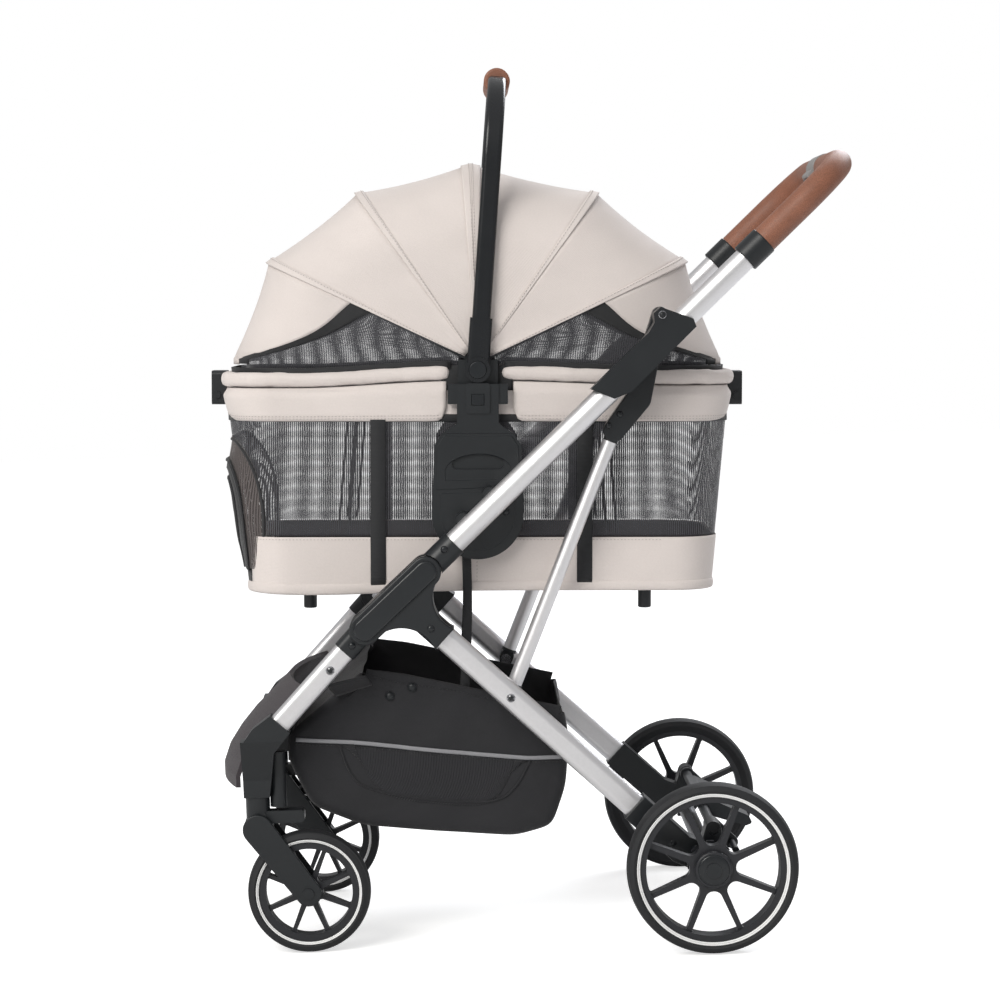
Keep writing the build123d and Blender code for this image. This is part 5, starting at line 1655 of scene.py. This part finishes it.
class BuildFrame(bpy.types.Operator):
    """Finish the tubes and fittings, set the rivets and hang the folding strap"""
    bl_idname = "stroller.build_frame"
    bl_label = "Frame"

    def execute(self, context):
        paint("anodised_aluminium", "push_tube", "rear_legs", "front_legs", *pairs("strut"))
        paint("moulded_nylon", "upper_sleeves", "lower_sleeves", "knees", "rear_brackets",
              "brake_pedal", "end_blocks", "carrier_feet", "carrier_adapters", "pivot_plates",
              "grip_fittings", *pairs("strut_fittings", "receiver", "slider", "caster_fork", "hub"))
        paint("polished_nylon", "fold_release_button", *pairs("adapter_button", "arch_button"))
        paint("plated_steel", "frame_pins")
        paint("zinc_steel", "rear_axle")
        paint_where("moulded_nylon", "rear_axle", lambda centre: abs(centre.y) > 262 * MM)
        paint("footrest_cloth", "footrest")
        paint("powder_coat", "arch_handle")
        paint("tan_leatherette", "push_grip", "arch_grip")
        paint_where("grey_satin_plastic", "grip_fittings", lambda centre: abs(centre.y) < 60 * MM)
        cheek = -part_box("hub_left")[0].y - 2 * MM
        for name, side in SIDES:
            paint_where("polished_nylon", "hub_" + name,
                        lambda centre, side=side: centre.y * side > cheek)
        self.rivets()
        self.relief()
        self.strap()
        self.seams()
        return {"FINISHED"}

    def relief(self):
        """The raised surround with its arched opening and the panel below it on each receiver."""
        lift, sunk, bevel, face_depth = 0.7 * MM, -0.3 * MM, 1.2 * MM, 12 * MM
        arch = [(-298.5, 562), (-220.5, 562)]
        arch += [(-259.5 + 39 * math.cos(turn), 572 + 20 * math.sin(turn))
                 for turn in even(0, math.pi, 24)]
        arch = [Vector((AXLE_X + x * MM, z * MM)) for x, z in arch]
        for name, side in SIDES:
            points = [vertex.co for vertex in NODES["receiver_" + name].data.vertices]
            face = min(abs(point.y) for point in points) + face_depth
            flat = [Vector((point.x, point.z)) for point in points
                    if abs(abs(point.y) - face) < 0.3 * MM]
            outline = [flat[index] for index in geometry.convex_hull_2d(flat)]
            pieces = []
            for x, z, split, inset, hole in ((-259.5, 573, 551, 3, arch),
                                             (-261, 510, 547, 10, None)):
                centre = Vector((AXLE_X + x * MM, z * MM))
                rows = [[] for _ in range(4)]
                for turn in even(0, 2 * math.pi, 180):
                    way = Vector((math.cos(turn), math.sin(turn)))
                    reach = reach_at(outline, centre, way) - inset * MM
                    to_split = (split * MM - centre.y) / way.y if abs(way.y) > 1e-6 else -1
                    if to_split > 0:
                        reach = min(reach, to_split)
                    inner = reach_at(arch, centre, way) if hole else 0.0
                    inner_top = inner + bevel * bool(hole)
                    for row, radius, rise in zip(rows, (reach, reach - bevel, inner_top, inner),
                                                 (sunk, lift, lift, sunk)):
                        spot = centre + way * radius
                        row.append(Vector((spot.x, side * (face + rise), spot.y)))
                pieces.append(tidy(cloth_mesh(rows + [rows[0]])))
            piece = new_piece("receiver_relief_" + name, outward(joined(pieces)), "moulded_nylon")
            for polygon in piece.data.polygons:
                polygon.use_smooth = False
            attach(piece, "push_bar")

    def rivets(self):
        """Rivet and bolt heads on both sides, each on the part that it holds."""
        def heads(name, body, spots, radius, finish, sides=SIDES):
            places = [(Vector((AXLE_X + x * MM, side * y, z * MM)), Vector((0, side, 0)))
                      for x, z, y in spots for _, side in sides]
            riveted(name, places, body, radius * MM, finish)

        cheek, strut, shoe = (-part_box(node)[0].y
                              for node in ("hub_left", "strut_fittings_left", "slider_left"))
        for name, body, spots, radius, finish in (
                ("sleeve_rivets", "push_bar", [(-303, 484, 216 * MM)], 4.4, "polished_nylon"),
                ("hub_screws", "frame", [(-322, 391, cheek - 3.5 * MM)], 4.6, "polished_nylon"),
                ("leg_rivets", "front_end", [(-416, 373, 212.6 * MM)], 4.4, "polished_nylon"),
                ("rear_bolt_rings", "frame", [(-230, 304, 210 * MM)], 5.2, "plated_steel"),
                ("rear_bolts", "frame", [(-230, 304, 211 * MM)], 3.8, "moulded_nylon"),
                ("receiver_screws", "push_bar", [(-228, 522, 163.2 * MM)], 4.2, "polished_nylon"),
                ("front_bolt_rings", "front_end", [(-443, 344, 209.5 * MM)], 5.2, "plated_steel"),
                ("front_bolts", "front_end", [(-443, 344, 210.5 * MM)], 3.8, "moulded_nylon"),
                ("bracket_rivets", "frame", [(-70, 150, 215 * MM), (-43, 124, 215 * MM)], 4.2,
                 "polished_nylon")):
            heads(name, body, spots, radius, finish)
        for name, side in SIDES:
            one = ((name, side),)
            link = [(x, z, strut - 0.5 * MM) for x, z in ((-89, 635), (-103, 622))]
            heads("link_rivets_" + name, "prop_" + name, link, 4.0, "polished_nylon", one)
            heads("slider_rings_" + name, "shoe_" + name, [(-37.6, 751.7, shoe)], 4.7,
                  "plated_steel", one)
            heads("slider_bolts_" + name, "shoe_" + name, [(-37.6, 751.7, shoe + 1 * MM)], 3.9,
                  "moulded_nylon", one)

    def strap(self):
        """The webbing strap on each side, from the push bar down to the basket."""
        for name, side in SIDES:
            path = [Vector((AXLE_X + (-277 - 8 * share) * MM + math.sin(share * math.pi) * 2.5 * MM,
                            side * 149 * MM, (474 - 166 * share) * MM)) for share in even(0, 1, 40)]
            mesh = tube_mesh(path, [Vector((0, side, 0))] * len(path),
                             flat_section(11 * MM, 1.6 * MM))
            strap = new_piece("fold_strap_" + name, mesh, "nylon_webbing")
            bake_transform(strap)

    def seams(self):
        """Sewn seam on the inner side of each leather grip."""
        lines = []
        for _, side in SIDES:
            skin = [v.co for v in NODES["push_grip"].data.vertices if v.co.y * side > 150 * MM]
            low, high = (pick(skin, key=lambda point: point.z) for pick in (min, max))
            inner = min(abs(point.y) for point in skin if point.z < low.z + 30 * MM)
            y = side * (inner - 0.2 * MM)
            first = Vector((low.x + 20 * MM, y, low.z + 18 * MM))
            last = Vector((low.x + (high.x - low.x) * 0.62, y, low.z + (high.z - low.z) * 0.62))
            lines.append([first.lerp(last, share) for share in even(0, 1, 30)])
        stitched("grip_seams", lines, "push_bar", "dark_thread")


# ------------------------------------------------------------ wheels
def wheel_ring(axle, y, radius, count):
    """A circle of points round an axle at a place along it."""
    return [Vector((axle.x + radius * math.cos(turn), y, axle.z + radius * math.sin(turn)))
            for turn in even(0, 2 * math.pi, count)]


class BuildWheels(bpy.types.Operator):
    """Finish the wheels and print the white lines on the tyres"""
    bl_idname = "stroller.build_wheels"
    bl_label = "Wheels"

    def execute(self, context):
        paint("wheel_nylon", *pairs("rear_wheel", "front_wheel", "brake_gear"))
        paint("foamed_rubber", *pairs("rear_tyre", "front_tyre"))
        for name, side in SIDES:
            self.lines("rear_%s_" + name, (side,), 0.84, 17 * MM,
                       ((0.850, 0.866), (0.8685, 0.885)))
            self.lines("front_%s_" + name, (-1, 1), 0.81, 14 * MM,
                       ((0.820, 0.8375), (0.841, 0.859)))
            self.cap(name, side, joint_point("rear_wheel_spin_" + name))
        return {"FINISHED"}

    def lines(self, pattern, faces, rim, half_w, bounds):
        """Two printed rings close together on the tyre's sloping wall, as shares of its radius."""
        axle = joint_point(pattern % "wheel_spin")
        rings = []
        for face in faces:
            for first, last in bounds:
                rows = []
                for share in (first, (first + last) / 2, last):
                    climb = (share - rim) / 0.085
                    wall = half_w * (0.72 + 0.28 * climb) + 0.9 * MM
                    rows.append(wheel_ring(axle, axle.y + face * wall, axle.z * share, 120))
                rings.append(cloth_mesh(rows, axle))
        label = "tyre_lines_" + pattern.replace("_%s", "")
        piece = new_piece(label, tidy(joined(rings)), "tyre_print")
        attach(walled(piece, 0.8 * MM, 0), pattern % "roller")

    def cap(self, name, side, axle):
        """The smooth cap over the end of the rear axle."""
        face = max(abs(v.co.y) for v in NODES["rear_wheel_" + name].data.vertices
                   if (v.co - axle).length < 60 * MM) * side
        rows = [wheel_ring(axle, face + side * height * MM, radius * MM, 64) for radius, height in (
            (0, -0.4), (18.6, -0.4), (18.4, 0.6), (17.6, 1.3), (16.0, 1.7), (8.0, 2.1), (0, 2.2))]
        cap = tidy(cloth_mesh(rows, Vector((axle.x, face, axle.z))))
        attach(new_piece("hub_cap_" + name, cap, "polished_nylon"), "rear_roller_" + name)


# ------------------------------------------------------------ studio
def lamp(name, place, aim, size, power, tone):
    """A large soft lamp aimed at a point."""
    light = bpy.data.lights.new(name, "AREA")
    light.shape = "RECTANGLE"
    light.size, light.size_y = size
    light.energy = power
    light.color = srgb(tone)[:3]
    piece = bpy.data.objects.new(name, light)
    piece.location = place
    piece.rotation_euler = (Vector(aim) - Vector(place)).to_track_quat("-Z", "Y").to_euler()
    bpy.context.scene.collection.objects.link(piece)
    return piece


class BuildStage(bpy.types.Operator):
    """Set the studio: white surroundings, a shadow-catching floor, lamps and the camera"""
    bl_idname = "stroller.build_stage"
    bl_label = "Studio"

    def execute(self, context):
        scene, sizes = context.scene, settings().stage
        scene.view_settings.view_transform = "Standard"
        self.sky(scene, sizes.sky)
        self.floor()
        key = lamp("key_lamp", (-2.2, -3.2, 3.0), (0, 0, 0.5), (2.4, 2.4), sizes.key * 8, "#FFFDF8")
        rim = lamp("rim_lamp", (1.6, 2.6, 2.6), (0, 0, 0.6), (2.2, 1.4), sizes.rim * 6, "#F8FAFF")
        self.camera(scene)
        return {"FINISHED"}

    def sky(self, scene, strength):
        """White to the camera and in mirrors, soft light for everything else."""
        world = bpy.data.worlds.new("studio")
        scene.world = world
        world.use_nodes = True
        tree = world.node_tree
        tree.nodes.clear()
        seen = add_node(tree, "ShaderNodeLightPath")
        place = add_node(tree, "ShaderNodeTexCoord")
        height = add_node(tree, "ShaderNodeSeparateXYZ", links={0: place.outputs["Object"]})
        glow = add_node(tree, "ShaderNodeMapRange",
                        {"From Min": -0.4, "From Max": 0.9, "To Min": strength * 0.5,
                         "To Max": strength * 1.35}, {"Value": height.outputs["Z"]})
        soft = add_node(tree, "ShaderNodeBackground", {"Color": (1, 1, 1, 1)},
                        {"Strength": glow.outputs["Result"]})
        white = add_node(tree, "ShaderNodeBackground", {"Color": (1, 1, 1, 1), "Strength": 1.0})
        direct = add_node(tree, "ShaderNodeMath", {"operation": "MAXIMUM"},
                          {0: seen.outputs["Is Camera Ray"],
                           1: seen.outputs["Is Transmission Ray"]})
        both = add_node(tree, "ShaderNodeMixShader",
                        links={0: direct.outputs[0], 1: soft.outputs[0], 2: white.outputs[0]})
        add_node(tree, "ShaderNodeOutputWorld", links={"Surface": both.outputs[0]})

    def floor(self):
        """White floor whose lit part matches the surroundings and whose shadow shows."""
        material, tree = new_material("studio_floor")
        seen = add_node(tree, "ShaderNodeLightPath")
        diffuse = add_node(tree, "ShaderNodeBsdfDiffuse", {"Color": (0.8, 0.8, 0.8, 1)})
        bright = add_node(tree, "ShaderNodeMath", {"operation": "MULTIPLY", 1: 0.62},
                          {0: seen.outputs["Is Camera Ray"]})
        lift = add_node(tree, "ShaderNodeEmission", {"Color": (1, 1, 1, 1)},
                        {"Strength": bright.outputs[0]})
        shader = add_node(tree, "ShaderNodeAddShader", links={0: diffuse.outputs[0],
                                                              1: lift.outputs[0]})
        close_material(material, shader)
        mesh = bpy.data.meshes.new("studio_floor")
        reach = 12.0
        mesh.from_pydata([(-reach, -reach, 0), (reach, -reach, 0), (reach, reach, 0),
                          (-reach, reach, 0)], [], [(0, 1, 2, 3)])
        mesh.materials.append(material)
        ground = bpy.data.objects.new("studio_floor", mesh)
        bpy.context.scene.collection.objects.link(ground)

    def camera(self, scene):
        """The main view: from the stroller's left side, far back, a little above its middle."""
        yaw, dip, roll = (math.radians(angle) for angle in (0.657, 3.946, 1.889))
        ahead = Vector((math.sin(yaw) * math.cos(dip), math.cos(yaw) * math.cos(dip),
                        -math.sin(dip)))
        across = Vector((math.cos(yaw), -math.sin(yaw), 0))
        down = ahead.cross(across)
        turned = across * math.cos(roll) + down * math.sin(roll)
        turned_down = down * math.cos(roll) - across * math.sin(roll)
        lens = bpy.data.cameras.new("main_camera")
        lens.sensor_width, lens.lens, lens.clip_end = 36, 99.67, 60
        camera = bpy.data.objects.new("main_camera", lens)
        basis = Matrix((turned, -turned_down, -ahead)).transposed()
        place = Vector((-0.0790, -3.4704, 0.7647))
        camera.matrix_world = Matrix.Translation(place) @ basis.to_4x4()
        scene.collection.objects.link(camera)
        scene.camera = camera


# ------------------------------------------------------------ panel and registration
STEPS = (BuildFrame, BuildWheels, BuildTub, BuildPad, BuildDoor, BuildRim, BuildCanopy, BuildBasket,
         BuildStage)


class StrollerPanel(bpy.types.Panel):
    """Lists the steps that dress the stroller"""
    bl_idname = "VIEW3D_PT_stroller"
    bl_label = "Stroller"
    bl_space_type = "VIEW_3D"
    bl_region_type = "UI"
    bl_category = "Stroller"

    def draw(self, context):
        for step in STEPS:
            self.layout.operator(step.bl_idname, text=step.bl_label)
        chosen = context.scene.stroller
        for group in (chosen.colours, chosen.carrier, chosen.basket, chosen.trim, chosen.stage):
            box = self.layout.box()
            for name in group.bl_rna.properties.keys():
                if name not in ("name", "rna_type"):
                    box.prop(group, name)


CLASSES = (StrollerColours, CarrierSizes, BasketSizes, TrimSizes, StageSettings, StrollerSettings,
           *STEPS, StrollerPanel)


def register():
    for item in CLASSES:
        bpy.utils.register_class(item)
    bpy.types.Scene.stroller = bpy.props.PointerProperty(type=StrollerSettings)


def unregister():
    del bpy.types.Scene.stroller
    for item in reversed(CLASSES):
        bpy.utils.unregister_class(item)


def main():
    """Registers the add-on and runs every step."""
    register()
    for step in STEPS:
        group, name = step.bl_idname.split(".")
        result = getattr(getattr(bpy.ops, group), name)()
        if result != {"FINISHED"}:
            raise RuntimeError(step.bl_idname + " did not finish")


if __name__ == "__main__":
    main()
